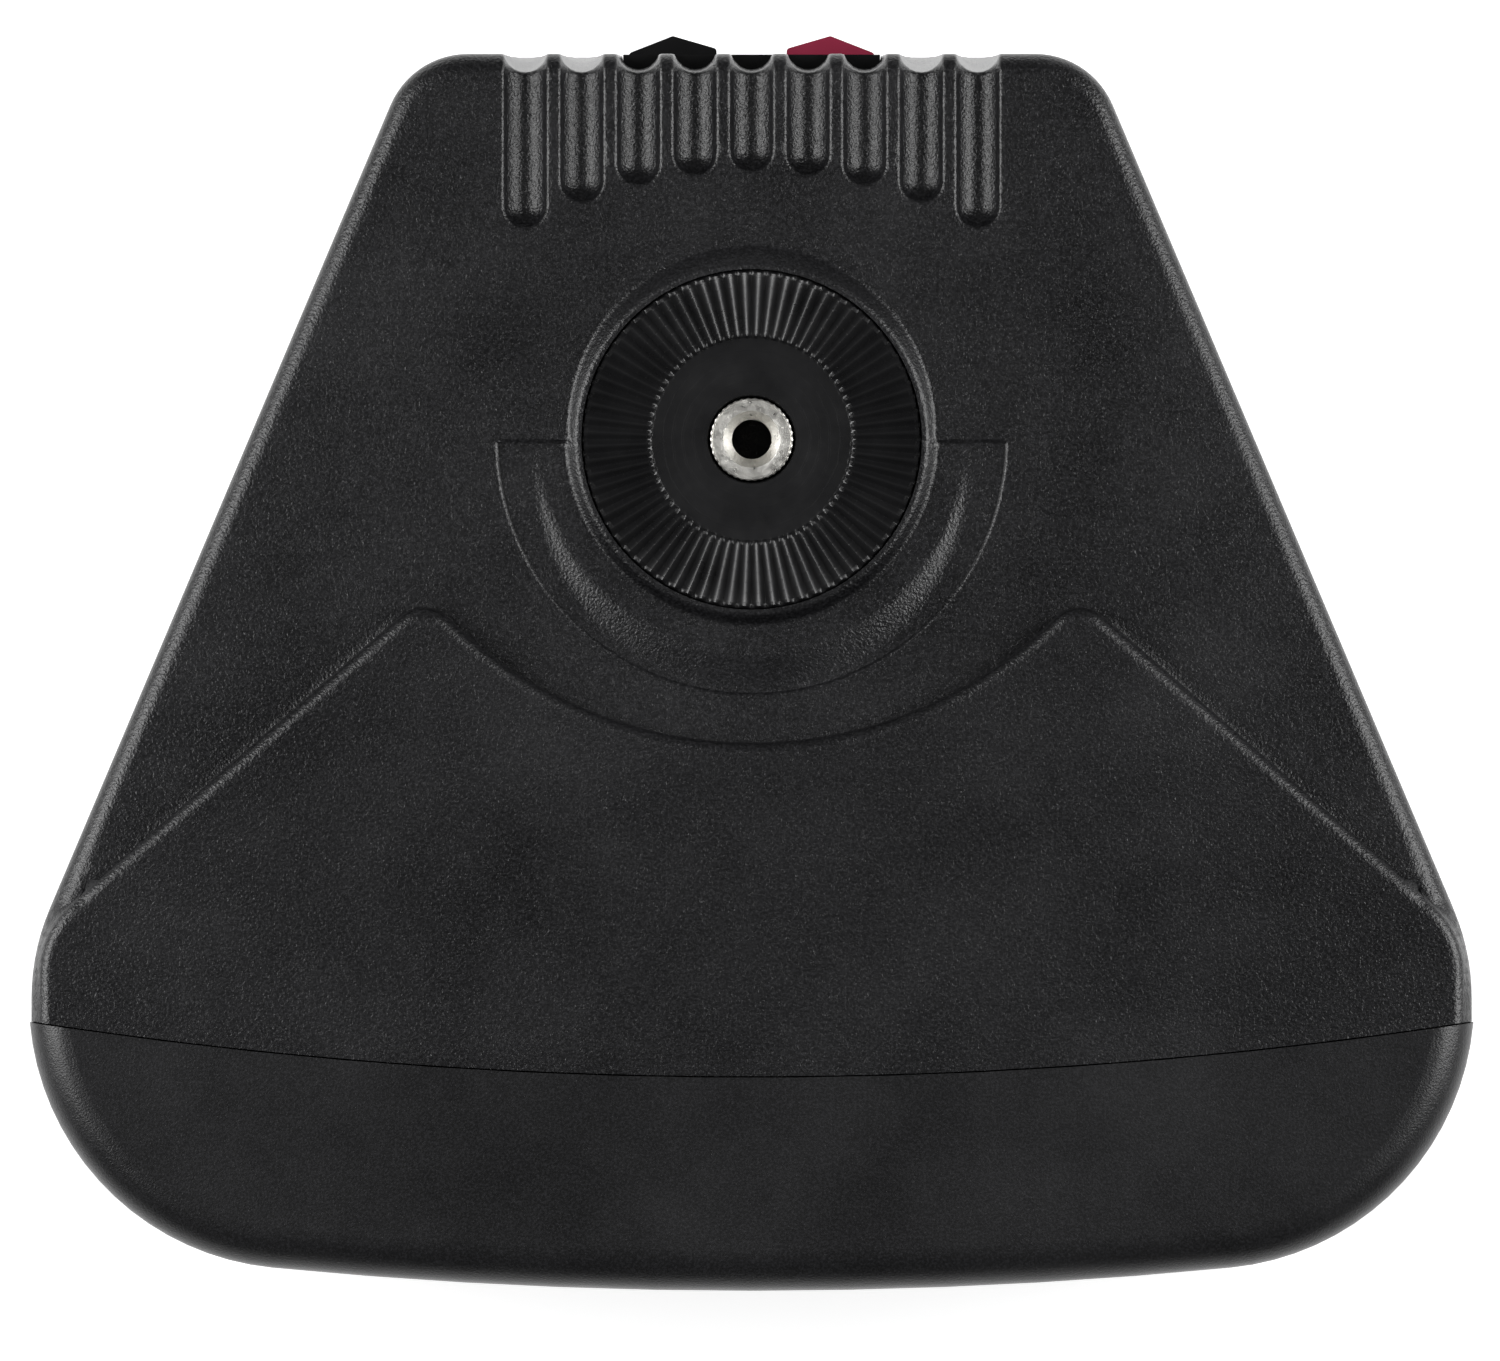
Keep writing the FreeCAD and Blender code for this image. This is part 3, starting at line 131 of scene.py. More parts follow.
def joined(parts):
    """Several (points, faces) as one."""
    points, faces, count = [], [], 0
    for some, shapes in parts:
        points.append(some)
        faces += [tuple(int(i) + count for i in face) for face in shapes]
        count += len(some)
    return np.concatenate(points), faces


def piece(name, points, faces, slot, crease=35.0, merge=0.004, wall=0.0):
    """A mesh piece from points in millimetres: doubles merged, normals out, then a wall inwards."""
    mesh = bpy.data.meshes.new(name)
    mesh.from_pydata((np.asarray(points) * MM).tolist(), [], [tuple(int(i) for i in f) for f in faces])
    form = bmesh.new()
    form.from_mesh(mesh)
    bmesh.ops.remove_doubles(form, verts=form.verts, dist=merge * MM)
    bmesh.ops.dissolve_degenerate(form, edges=form.edges, dist=0.001 * MM)
    bmesh.ops.recalc_face_normals(form, faces=form.faces)
    form.to_mesh(mesh)
    form.free()
    mesh.materials.append(finishes[slot])
    made = bpy.data.objects.new(name, mesh)
    bpy.context.scene.collection.objects.link(made)
    if wall:
        thick = made.modifiers.new("wall", "SOLIDIFY")
        thick.thickness = wall * MM
        thick.offset = -1
        bpy.context.view_layer.update()
        solid = made.evaluated_get(bpy.context.evaluated_depsgraph_get())
        made.data = bpy.data.meshes.new_from_object(solid)
        made.modifiers.clear()
    made.data.polygons.foreach_set("use_smooth", np.ones(len(made.data.polygons), bool))
    made.data.set_sharp_from_angle(angle=math.radians(crease))
    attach(made, "cabinet")
    return made


def smooth_max(a, b, soft):
    """The larger of two heights, with a fillet where they cross."""
    return np.maximum(a, b) + np.maximum(soft - np.abs(a - b), 0) ** 2 / (4 * soft)


def ease(value):
    """0 to 1 with level ends."""
    held = np.clip(value, 0, 1)
    return held * held * (3 - 2 * held)


def line(start, end, step):
    """Points from start up to end, without end, about a step apart."""
    start, end = np.array(start, float), np.array(end, float)
    count = max(1, round(float(np.hypot(*(end - start))) / step))
    return start + (end - start) * (np.arange(count) / count)[:, None]


def arc(centre, radius, first, last, count):
    """Points and outward directions of a round stretch, with both ends."""
    angle = np.linspace(first, last, count)
    out = np.stack([np.cos(angle), np.sin(angle)], -1)
    return np.array(centre) + radius * out, out


# ---------------------------------------------------------------- cabinet

def seam_y(x):
    """The seam's circle, seen from above."""
    return SEAM_CENTRE - np.sqrt(SEAM_RADIUS ** 2 - np.asarray(x) ** 2)


def belt_columns():
    """Where the back is cut across the grooves, from the corner to the middle."""
    every = (GROOVES[:, None] * GROOVE_STEP + np.concatenate([-ACROSS, [0.0], ACROSS])).ravel()
    kept = np.unique(np.round(every[every >= -0.001], 4))
    return np.concatenate([[34.6, 33.2], kept[::-1]])


def plan():
    """The outline from the right end of the seam round the back to the left end: points, and the way in.
    Side and flare are straight, bend and corner are round, and a mirror gives the left half."""
    way = np.array([math.cos(FLARE), math.sin(FLARE)])
    bend, bend_out = arc((BELLY - BEND_RADIUS, BEND_Y), BEND_RADIUS, 0, FLARE, 8)
    corner, corner_out = arc(CORNER, CORNER_RADIUS, FLARE, math.pi / 2, 14)
    side = line((BELLY, seam_y(BELLY)), bend[0], 1.6)
    flare = line(bend[-1], corner[0], 2.6)[1:]
    columns = belt_columns()
    back = np.stack([columns, np.full(len(columns), BACK_Y)], -1)
    points = np.concatenate([side, bend, flare, corner, back])
    out = np.concatenate([np.tile([1.0, 0.0], (len(side), 1)), bend_out, np.tile(way, (len(flare), 1)),
                          corner_out, np.tile([0.0, 1.0], (len(back), 1))])
    left = slice(len(points) - 2, None, -1)
    turned = np.array([-1.0, 1.0])
    return (np.concatenate([points, points[left] * turned]),
            -np.concatenate([out, out[left] * turned]))


def in_cone(x, y, centre, first, last):
    """Which points a round stretch faces, and how far they are from its centre."""
    angle = np.arctan2(y - centre[1], x - centre[0])
    return (angle >= first) & (angle <= last), np.hypot(x - centre[0], y - centre[1])


def inset(x, y):
    """How far in from the plan a point is: the least distance to its lines, or to an arc that it faces."""
    x = np.abs(x)
    corner_x, corner_y = CORNER
    flare = ((corner_x - x) * math.cos(FLARE) + (corner_y - y) * math.sin(FLARE)) + CORNER_RADIUS
    far = np.minimum(np.minimum(BELLY - x, flare), BACK_Y - y)
    for centre, radius, first, last in (((BELLY - BEND_RADIUS, BEND_Y), BEND_RADIUS, 0, FLARE),
                                        (CORNER, CORNER_RADIUS, FLARE, math.pi / 2)):
        faced, away = in_cone(x, y, centre, first, last)
        far = np.where(faced, radius - away, far)
    return far


def front_inset(x, y):
    """How far in from the gull-shaped edge of the raised front a point is, below 0 outside it."""
    x = np.abs(x)
    slant = ((FRONT_CORNER[0] - x) * math.cos(LEAN) + (FRONT_CORNER[1] - y) * math.sin(LEAN)
             + FRONT_CORNER_RADIUS)
    bay = np.hypot(x, y - BAY_Y) - BAY_RADIUS
    far = np.minimum(np.minimum(FRONT_SIDE - x, slant), bay)
    for centre, radius, first, last in ((FRONT_CORNER, FRONT_CORNER_RADIUS, 0, LEAN),
                                        (PEAK, PEAK_RADIUS, LEAN, PEAK_END)):
        faced, away = in_cone(x, y, centre, first, last)
        far = np.where(faced, radius - away, far)
    return far


def rounded_drop(far, radius):
    """How far a quarter-round edge has dropped at a distance in from it."""
    return radius - np.sqrt(radius ** 2 - (radius - np.clip(far, 0, radius)) ** 2)


def rounded_inset(drop, radius):
    """How far in from a quarter-round edge it has dropped by that much."""
    return radius - np.sqrt(radius ** 2 - (radius - drop) ** 2)


def plateau_z(y):
    """The plateau rises towards the front."""
    return MOUTH_Z - PLATEAU_DROP - y * PLATEAU_SLOPE


def end_height(x, y):
    """Height of the end face without its grooves: the greatest of the plateau with its round edge, the
    raised front with its leaning step, and the boss, after the dish is cut out of the plateau."""
    radius = np.hypot(x, y)
    ground = plateau_z(y)
    scoop = DISH_FLOOR_Z + np.maximum(0, radius - DISH_FOOT) * DISH_RISE
    dish = -smooth_max(-(ground - DISH_STEP), -smooth_max(scoop, DISH_FLOOR_Z, SOFT), SOFT)
    cut = ease(-y / 0.5) * ease((DISH_RADIUS + 0.1 - radius) / 0.3)
    seat = ground + (dish - ground) * cut
    boss = -smooth_max(-MOUTH_Z, (radius - BOSS_RIM - 0.1) / BOSS_RUN - MOUTH_Z, 0.4)
    near = radius < DISH_RADIUS + 2
    flat = np.where(near, smooth_max(seat, boss, 0.35), ground) - rounded_drop(inset(x, y), EDGE_RADIUS)
    far = front_inset(x, y)
    rise = TOP_Z - rounded_drop(far, FRONT_EDGE) + STEP_LEAN * np.minimum(far, 0)
    return np.maximum(flat, rise)


def groove_depth(across):
    """A round-bottomed groove with a round lip: two arcs that meet smoothly, then level land."""
    bowl = np.sqrt(np.maximum(GROOVE_RADIUS ** 2 - across ** 2, 0)) - GROOVE_LIFT
    rest = np.clip(LIP_AT - across, 0, GROOVE_LIP)
    lip = GROOVE_LIP - np.sqrt(GROOVE_LIP ** 2 - rest ** 2)
    return np.where(across < LIP_START, bowl, lip)


def nearest_line(x):
    """The middle line of the groove nearest to each place across the back."""
    return np.clip(np.round(x / GROOVE_STEP), GROOVES[0], GROOVES[-1]) * GROOVE_STEP


def nose_y(x):
    """Where each groove's round nose has its centre."""
    return BACK_Y - (NOSE_SETBACK + NOSE_SWEEP - np.sqrt(NOSE_SWEEP ** 2 - x ** 2)) + GROOVE_RADIUS


def grooved(x, y):
    """Depth of the grooves at points of the end face, by the distance to the nearest groove's line."""
    middle = nearest_line(x)
    nose = nose_y(middle)
    aside = np.abs(x - middle)
    return groove_depth(np.where(y < nose, np.hypot(aside, y - nose), aside))


def end_points(edge, way_in):
    """Plan points of the end face, gathered along everything that it turns at: the round outer edge, the
    gull-shaped step, the boss and dish, and the grooves, with a loose net between them."""
    found = [edge + far * way_in for far in (*EDGE_TURNS, EDGE_RADIUS + 0.4)]
    corner, corner_out = arc(FRONT_CORNER, FRONT_CORNER_RADIUS, 0, LEAN, 12)
    peak, peak_out = arc(PEAK, PEAK_RADIUS, LEAN, PEAK_END, 14)
    slant = line(corner[-1], peak[0], 2.2)[1:]
    touch = math.atan2(peak[-1][1] - BAY_Y, peak[-1][0])
    bay, bay_out = arc((0, BAY_Y), BAY_RADIUS, touch, -math.pi / 2, 26)
    side = line((FRONT_SIDE, seam_y(FRONT_SIDE) - 2), corner[0], 1.6)
    step = np.concatenate([side, corner, slant, peak, bay[1:]])
    step_out = np.concatenate([np.tile([1.0, 0.0], (len(side), 1)), corner_out,
                               np.tile(corner_out[-1], (len(slant), 1)), peak_out, -bay_out[1:]])
    height = TOP_Z - plateau_z(step[:, 1])
    foot = np.where(height > FRONT_EDGE, -(height - FRONT_EDGE) / STEP_LEAN,
                    rounded_inset(np.minimum(height, FRONT_EDGE), FRONT_EDGE))
    for share in (1.0, 0.8, 0.6, 0.4, 0.2, 0.0):
        turn = share * np.arccos(1 - np.minimum(height, FRONT_EDGE) / FRONT_EDGE)
        found.append(step - (FRONT_EDGE * (1 - np.sin(turn)))[:, None] * step_out)
    for far in (foot, foot - 0.35, foot - 1.2, np.full(len(foot), FRONT_EDGE + 0.4)):
        found.append(step - far[:, None] * step_out)
    # Rings of points lie closest at the boss's flank and at the dish's outer edge.
    rings = np.concatenate([np.arange(21.5, 24.7, 0.18), np.arange(24.9, 31.0, 0.6),
                            np.arange(31.1, 32.4, 0.2), [32.8, 33.6]])
    turn = (np.arange(90) + 0.5) * math.pi / 90 - math.pi / 2
    found.append((rings[:, None, None] * np.stack([np.cos(turn), np.sin(turn)], -1)).reshape(-1, 2))
    # Rows either side of the straight step where the dish ends.
    beside = np.arange(22.2, 32.0, 0.7)
    rows = np.array([-0.65, -0.45, -0.25, -0.05, 0.15])
    found.append(np.stack(np.meshgrid(beside, rows), -1).reshape(-1, 2))
    for at in GROOVES[GROOVES >= 0] * GROOVE_STEP:
        nose = nose_y(at)
        columns = at + np.concatenate([-ACROSS[::-1], [0.0], ACROSS])
        count = max(3, round((BACK_Y - EDGE_RADIUS - nose) / 1.7))
        rows = nose + (BACK_Y - EDGE_RADIUS - nose) * np.arange(count) / count
        found.append(np.stack(np.meshgrid(columns, rows), -1).reshape(-1, 2))
        sweep = np.linspace(0, math.pi, 13)[1:-1]
        fan = np.stack([np.cos(sweep), -np.sin(sweep)], -1)
        found.append(((ACROSS[:, None, None] * fan) + (at, nose)).reshape(-1, 2))
    # The loose net is staggered, and keeps clear of everything above.
    x, y = np.meshgrid(np.arange(-90, 90.1, NET), np.arange(-80, 49, NET))
    x = x + NET / 2 * (np.arange(len(x)) % 2)[:, None]
    net = np.stack([x.ravel(), y.ravel()], -1)
    clear = np.abs(front_inset(net[:, 0], net[:, 1]) - 0.4) > 2.2
    clear &= (inset(net[:, 0], net[:, 1]) > 4.2) & (np.hypot(net[:, 0], net[:, 1]) > 34.4)
    clear &= ~((np.abs(net[:, 0]) < 33.5) & (net[:, 1] > 25))
    found.append(net[clear])
    found = np.concatenate(found)
    both = np.unique(np.round(np.concatenate([found, found * (-1, 1)]), 3), axis=0)
    x, y = both.T
    kept = (inset(x, y) > 0.03) & (y > seam_y(x) + 0.15) & (np.hypot(x, y) > SEAT_HOLE + 0.1)
    return both[kept]


def lifted(plan_points):
    """Plan points of the end face in space. A groove is cut square to the surface, so over the round
    back edge its depth turns from down to forwards."""
    x, y = plan_points.T
    depth = grooved(x, y)
    over = np.arcsin(np.clip(1 - (BACK_Y - y) / EDGE_RADIUS, 0, 1))
    return np.stack([x, y - depth * np.sin(over), end_height(x, y) - depth * np.cos(over)], -1)


def turned_over(points):
    """The same points mirrored about the middle of the cabinet's height."""
    return points * (1, 1, -1) + (0, 0, 2 * MIDDLE_Z)


def flipped(points, faces):
    """The other end: the same surface turned over, still facing outwards."""
    return turned_over(points), [tuple(face[::-1]) for face in faces]


def cabinet():
    """The moulded shell: an end face triangulated over its plan points and lifted by the height formula,
    the same face turned over, and a wall of levels between their edges. The seat's hole gets a skirt."""
    edge, way_in = plan()
    x_seam = np.linspace(-BELLY, BELLY, 86)[1:-1]
    near = BELLY - EDGE_TURNS
    x_seam = np.unique(np.concatenate([x_seam[np.abs(x_seam) < near[-1] - 1], near, -near]))
    seam = np.stack([x_seam, seam_y(x_seam)], -1)
    turn = np.linspace(0, 2 * math.pi, 180, endpoint=False)
    hole = SEAT_HOLE * np.stack([np.cos(turn), np.sin(turn)], -1)
    loop = np.concatenate([edge, seam])
    flat = np.concatenate([loop, hole, end_points(edge, way_in)])
    first = len(loop)
    rims = [(first + i, first + (i + 1) % len(hole)) for i in range(len(hole))]
    cut = delaunay_2d_cdt([Vector(p) for p in flat.tolist()], rims, [list(range(first))], 1, 1e-5)
    flat = np.array([tuple(p) for p in cut[0]])
    faces = np.array(cut[2])
    middle = flat[faces].mean(1)
    faces = faces[np.hypot(*middle.T) > SEAT_HOLE + 0.03]
    top = lifted(flat)
    rim = np.stack([hole[:, 0], hole[:, 1], end_height(*hole.T)], -1)
    pocket = [(SEAT_HOLE, SEAT_FOOT_Z), (POCKET, SEAT_FOOT_Z), (POCKET, POCKET_Z), (0.01, POCKET_Z)]
    levels = [hole / SEAT_HOLE * radius for radius, _ in pocket]
    skirt = np.concatenate([rim] + [np.column_stack([level, np.full(len(hole), z)])
                                    for level, (_, z) in zip(levels, pocket)])
    end = joined([(top, faces), (skirt, grid_faces(len(pocket) + 1, len(hole), ring=True))])

    # Down the back the grooves get shallower, and smooth_max's own lift is taken off where they end.
    rise = plateau_z(edge[:, 1]) - EDGE_RADIUS
    aside = np.abs(edge[:, 0] - nearest_line(edge[:, 0]))
    depth = groove_depth(aside) * (edge[:, 1] > BACK_Y - 0.01)
    rows = []
    for z in WALL_LEVELS:
        level = np.minimum(z, rise)
        fading = depth - GROOVE_DEPTH * (rise - level) / RUN_OUT
        lift = RUN_OUT_SOFT / 4 * (level < rise - 0.5)
        left = np.where(depth > 0, smooth_max(fading, 0, RUN_OUT_SOFT) - lift, 0)
        rows.append(np.stack([edge[:, 0], edge[:, 1] - np.clip(left, 0, depth), level], -1))
    rows[0] = np.stack([edge[:, 0], edge[:, 1] - depth, rise], -1)
    down = [turned_over(row) for row in rows[::-1]]
    level = np.stack([edge[:, 0], edge[:, 1], np.full(len(edge), CUP_FOOT)], -1)
    rows = np.stack([*rows, level, *down])
    faces = grid_faces(len(rows), len(edge))
    points = rows.reshape(-1, 3)
    middle = points[faces].mean(1)
    opening = ((np.abs(middle[:, 0]) < CUP_HALF) & (middle[:, 1] > 40)
               & (middle[:, 2] < CUP_TOP) & (middle[:, 2] > CUP_FOOT))
    points, faces = joined([end, flipped(*end), (points, faces[~opening])])
    made = piece("cabinet_shell", points, faces, "cabinet_plastic", crease=CABINET_CREASE, wall=WALL)
    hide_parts("rear_cabinet")


# ---------------------------------------------------------------- pivot

TEETH = 72
TEETH_FROM, TEETH_TO = 12.6, 21.2
TOOTH_HEIGHT = 0.8
KNURLS, KNURL_DEPTH = 38, 0.1
THREAD_RADIUS, THREAD_DEPTH, THREAD_PITCH = 2.46, 0.5, 1.0


def pivot_ring(name, at_top):
    """A toothed nylon disc: a closed profile carried round the axis. Between the tooth radii the face
    waves 72 times round, from the disc's level up to the crests, fading over each tooth's round ends."""
    low, high = box_mm("pivot_ring_top")
    crest, disc, foot = high[2], high[2] - TOOTH_HEIGHT, low[2]
    across = np.concatenate([[5.45, 5.45, 5.6, 7.5, 10.0, 12.1, 12.42], [12.6, 12.75, 12.95, 13.3],
                             np.linspace(14.5, 19.8, 5), [20.5, 20.85, 21.05, 21.15, 21.2, 21.2]])
    level = np.full(len(across), disc)
    # Both rims are chamfered, and a low bead runs round just inside the teeth.
    level[0], level[1], level[-1], level[-2] = foot, disc - 0.2, foot, disc - 0.15
    level[6] = disc + 0.06
    turn = np.linspace(0, 2 * math.pi, TEETH * 10, endpoint=False)
    share = (turn * TEETH / (2 * math.pi)) % 1.0
    ridge = 1 - np.abs(2 * share - 1)
    wave = 0.55 * ridge + 0.45 * ease(ridge)
    body = ease((across - TEETH_FROM + 0.12) / 0.55) * ease((TEETH_TO - across) / 0.42)
    body[:6] = 0
    body[-2:] = 0
    tall = (crest - disc) * (0.62 + 0.38 * np.clip((across - TEETH_FROM) / 6, 0, 1))
    base = (crest - disc - tall) * body
    z = (level + base)[:, None] + (tall * body)[:, None] * wave[None, :]
    x = across[:, None] * np.cos(turn)
    y = across[:, None] * np.sin(turn)
    points = np.stack([x, y, z], -1).reshape(-1, 3)
    faces = [tuple(f) for f in grid_faces(len(across), len(turn), ring=True, loop=True)]
    if not at_top:
        points, faces = flipped(points, faces)
    made = piece(name, points, faces, "ring_plastic", crease=50)
    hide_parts("pivot_ring_top" if at_top else "pivot_ring_bottom")


def pivot_insert(name, at_top):
    """A knurled brass insert, nickel plated: a closed profile carried round the axis. It goes up the
    knurl, over the faced end and its chamfer, and down a thread whose radius waves with height and turn."""
    low, high = box_mm("pivot_insert_top")
    mouth, foot = high[2], low[2]
    turn = np.linspace(0, 2 * math.pi, KNURLS * 6, endpoint=False)
    depths = np.arange(1.2, 11.8, 0.125)
    outer = np.array([(2.6, foot), (4.6, foot), (5.12, foot + 0.5), (5.2, foot + 1.0),
                      (5.2, mouth - 0.9), (5.2, mouth - 0.3), (5.17, mouth - 0.22), (5.0, mouth - 0.1),
                      (4.9, mouth - 0.1), (4.86, mouth), (4.8, mouth), (3.62, mouth), (3.55, mouth - 0.02),
                      (3.48, mouth - 0.1), (3.3, mouth - 0.3), (2.62, mouth - 1.0)])
    bore = np.stack([np.full(len(depths), THREAD_RADIUS), mouth - depths], -1)
    profile = np.concatenate([outer, bore])
    radius = np.repeat(profile[:, 0:1], len(turn), 1)
    z = np.repeat(profile[:, 1:2], len(turn), 1)
    # Only the widest part is knurled, and the thread starts below the countersink.
    knurled = (profile[:, 0] > 5.0)[:, None]
    share = (turn * KNURLS / (2 * math.pi)) % 1
    radius = radius + knurled * KNURL_DEPTH * (np.abs(2 * share - 1) - 1)
    thread_z = z[len(outer):]
    rise = (thread_z / THREAD_PITCH + turn / (2 * math.pi)) % 1.0
    depth_in = ease((mouth - 0.9 - thread_z) / 1.4)
    radius[len(outer):] += THREAD_DEPTH * depth_in * (1 - np.abs(2 * rise - 1)) ** 1.2
    points = np.stack([radius * np.cos(turn), radius * np.sin(turn), z], -1).reshape(-1, 3)
    faces = [tuple(f) for f in grid_faces(len(profile), len(turn), ring=True, loop=True)]
    if not at_top:
        points, faces = flipped(points, faces)
    made = piece(name, points, faces, "nickel", crease=24)
    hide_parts("pivot_insert_top" if at_top else "pivot_insert_bottom")


# ---------------------------------------------------------------- grille

GRILLE_BEND = 1.3
EDGE_FALL, EDGE_FALL_FROM, EDGE_FALL_RUN = 2.2, 64.0, 9.7
HOLE_PITCH, HOLE_RADIUS, HOLE_SIDES = 3.5, 1.1, 10
GRILLE_SHEET, GRILLE_CORNER, GRILLE_MARGIN, GRILLE_HEM = 0.8, 11.7, 7.0, 6.5


def bowed_y(x, radius):
    """A surface bowed about the seam's centre line, which falls back further near its side edges."""
    past = np.maximum(np.abs(x) - EDGE_FALL_FROM, 0) / EDGE_FALL_RUN
    return SEAM_CENTRE - np.sqrt(radius ** 2 - np.asarray(x) ** 2) + EDGE_FALL * past ** 2


def round_rectangle(low, high, radius, far, step):
    """A rounded rectangle in x and z, grown outwards by far: points and the way out, anticlockwise."""
    points, outs = [], []
    quarter = math.pi / 2
    spots = [(high[0] - radius, high[1] - radius, 0), (low[0] + radius, high[1] - radius, 1),
             (low[0] + radius, low[1] + radius, 2), (high[0] - radius, low[1] + radius, 3)]
    for number, (x, z, part) in enumerate(spots):
        some, out = arc((x, z), radius + far, part * quarter, (part + 1) * quarter, 12)
        following = spots[(number + 1) % 4]
        nearest, _ = arc(following[:2], radius + far, (part + 1) * quarter, (part + 1) * quarter, 1)
        straight = line(some[-1], nearest[0], step)[1:]
        points += [some, straight]
        outs += [out, np.tile(out[-1], (len(straight), 1))]
    return np.concatenate(points), np.concatenate(outs)


def grille():
    """Perforated steel sheet, bowed like the front: a rounded rectangle with staggered ten-sided holes,
    triangulated flat and bent about the bow's centre line, with its edge turned back."""
    low, high = box_mm("grille")
    rim, out = round_rectangle(low[::2], high[::2], GRILLE_CORNER, -GRILLE_BEND, 4.0)
    rows = np.arange(low[2] + GRILLE_MARGIN, high[2] - GRILLE_MARGIN + 0.5,
                     HOLE_PITCH * math.sqrt(3) / 2)
    columns = np.arange(-40, 41) * HOLE_PITCH
    x, z = np.meshgrid(columns, rows)
    x = x + (np.arange(len(rows)) % 2)[:, None] * HOLE_PITCH / 2
    middle, reach = (low + high) / 2, (high - low) / 2 - GRILLE_MARGIN - GRILLE_CORNER
    past_x = np.maximum(np.abs(x) - reach[0], 0)
    past_z = np.maximum(np.abs(z - middle[2]) - reach[2], 0)
    kept = np.hypot(past_x, past_z) < GRILLE_CORNER + 1.5
    centres = np.stack([x[kept], z[kept]], -1)
    turn = np.arange(HOLE_SIDES) * 2 * math.pi / HOLE_SIDES + 0.05
    holes = centres[:, None] + HOLE_RADIUS * np.stack([np.cos(turn), np.sin(turn)], -1)
    flat = np.concatenate([rim, holes.reshape(-1, 2)])
    index = len(rim) + np.arange(len(centres) * HOLE_SIDES).reshape(-1, HOLE_SIDES)
    edges = np.stack([index, np.roll(index, -1, 1)], -1).reshape(-1, 2)
    cut = delaunay_2d_cdt([Vector(p) for p in flat.tolist()], [tuple(e) for e in edges.tolist()],
                          [list(range(len(rim)))], 1, 1e-5)
    flat = np.array([tuple(p) for p in cut[0]])
    faces = np.array(cut[2])
    owner = np.array([first[0] if first else -1 for first in cut[3]])
    holed = (owner[faces] - len(rim)) // HOLE_SIDES
    solid = ~((holed[:, 0] == holed[:, 1]) & (holed[:, 1] == holed[:, 2]) & (holed[:, 0] >= 0))
    face_radius = SEAM_CENTRE - low[1]
    front = np.stack([flat[:, 0], bowed_y(flat[:, 0], face_radius), flat[:, 1]], -1)
    turned = []
    # The hem is a quarter-round bend and then a straight flange backwards.
    for angle in np.radians([0, 22, 45, 68, 90]):
        ring = rim + GRILLE_BEND * math.sin(angle) * out
        back = GRILLE_BEND * (1 - math.cos(angle))
        turned.append(np.stack([ring[:, 0], bowed_y(rim[:, 0], face_radius) + back, ring[:, 1]], -1))
    turned.append(turned[-1] + (0, GRILLE_HEM, 0))
    hem = np.stack(turned).reshape(-1, 3)
    points, shapes = joined([(front, faces[solid]), (hem, grid_faces(len(turned), len(rim), ring=True))])
    made = piece("grille_sheet", points, shapes, "grille_paint", crease=45, wall=GRILLE_SHEET)
    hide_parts("grille")


def scrim():
    """Thin knitted cloth stretched behind the grille: one layer bowed like it."""
    low, high = box_mm("grille_scrim")
    middle = bowed_y(0, SEAM_CENTRE - low[1]) + 0.15
    x, z = np.meshgrid(np.linspace(low[0] + 0.1, high[0] - 0.1, 64),
                       np.linspace(low[2] + 0.1, high[2] - 0.1, 90), indexing="ij")
    y = bowed_y(x, SEAM_CENTRE - middle)
    points = np.stack([x, y, z], -1).reshape(-1, 3)
    made = piece("scrim_cloth", points, grid_faces(*x.shape), "scrim_cloth")
    if made.data.polygons[0].normal.y > 0:
        made.data.flip_normals()
    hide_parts("grille_scrim")


def wadding():
    """A lofty fibre pad: a rounded block whose skin swells between four pinched rows and is uneven."""
    low, high = box_mm("damping_pad")
    middle, half = (low + high) / 2, (high - low) / 2 - 0.4
    u, v = np.meshgrid(np.linspace(-math.pi, math.pi, 96, endpoint=False),
                       np.linspace(-math.pi / 2, math.pi / 2, 64), indexing="ij")

    def rounded(value, power):
        return np.sign(value) * np.abs(value) ** power

    ring = rounded(np.cos(v), 0.35)
    x = rounded(np.cos(u), 0.45) * ring
    y = rounded(np.sin(u), 0.7) * ring
    z = rounded(np.sin(v), 0.35)
    crown = 0.84 + 0.11 * np.cos(4 * math.pi * z) * np.cos(2 * math.pi * x)
    waves = sum(0.022 * np.sin(a * x + b * z + c) for a, b, c in ((9, 5, 1), (-6, 11, 2), (17, -8, 3)))
    points = middle + half * np.stack([x * 0.985, y * (crown + waves), z * 0.985], -1)
    points = points.transpose(1, 0, 2)
    faces = grid_faces(*points.shape[:2], ring=True)
    made = piece("wadding_pad", points.reshape(-1, 3), faces, "wadding", crease=80, merge=0.02)
    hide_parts("damping_pad")


# ---------------------------------------------------------------- finishes

def linear(text):
    """An sRGB hex colour as linear red, green, blue and alpha."""
    values = [int(text[i:i + 2], 16) / 255 for i in (1, 3, 5)]
    return [*(v / 12.92 if v <= 0.04045 else ((v + 0.055) / 1.055) ** 2.4 for v in values), 1.0]


def put(tree, kind, sockets=None, **settings):
    """Adds a node: settings are its own properties, and sockets take a number, a colour or a link."""
    made = tree.nodes.new(kind)
    for name, value in settings.items():
        setattr(made, name, value)
    for name, value in (sockets or {}).items():
        if isinstance(value, bpy.types.NodeSocket):
            tree.links.new(value, made.inputs[name])
        else:
            made.inputs[name].default_value = value
    return made


def blank(name):
    """A material with an empty tree, and its object coordinates."""
    made = bpy.data.materials.new(name)
    made.use_nodes = True
    made.node_tree.nodes.clear()
    place = put(made.node_tree, "ShaderNodeTexCoord").outputs["Object"]
    return made, made.node_tree, place


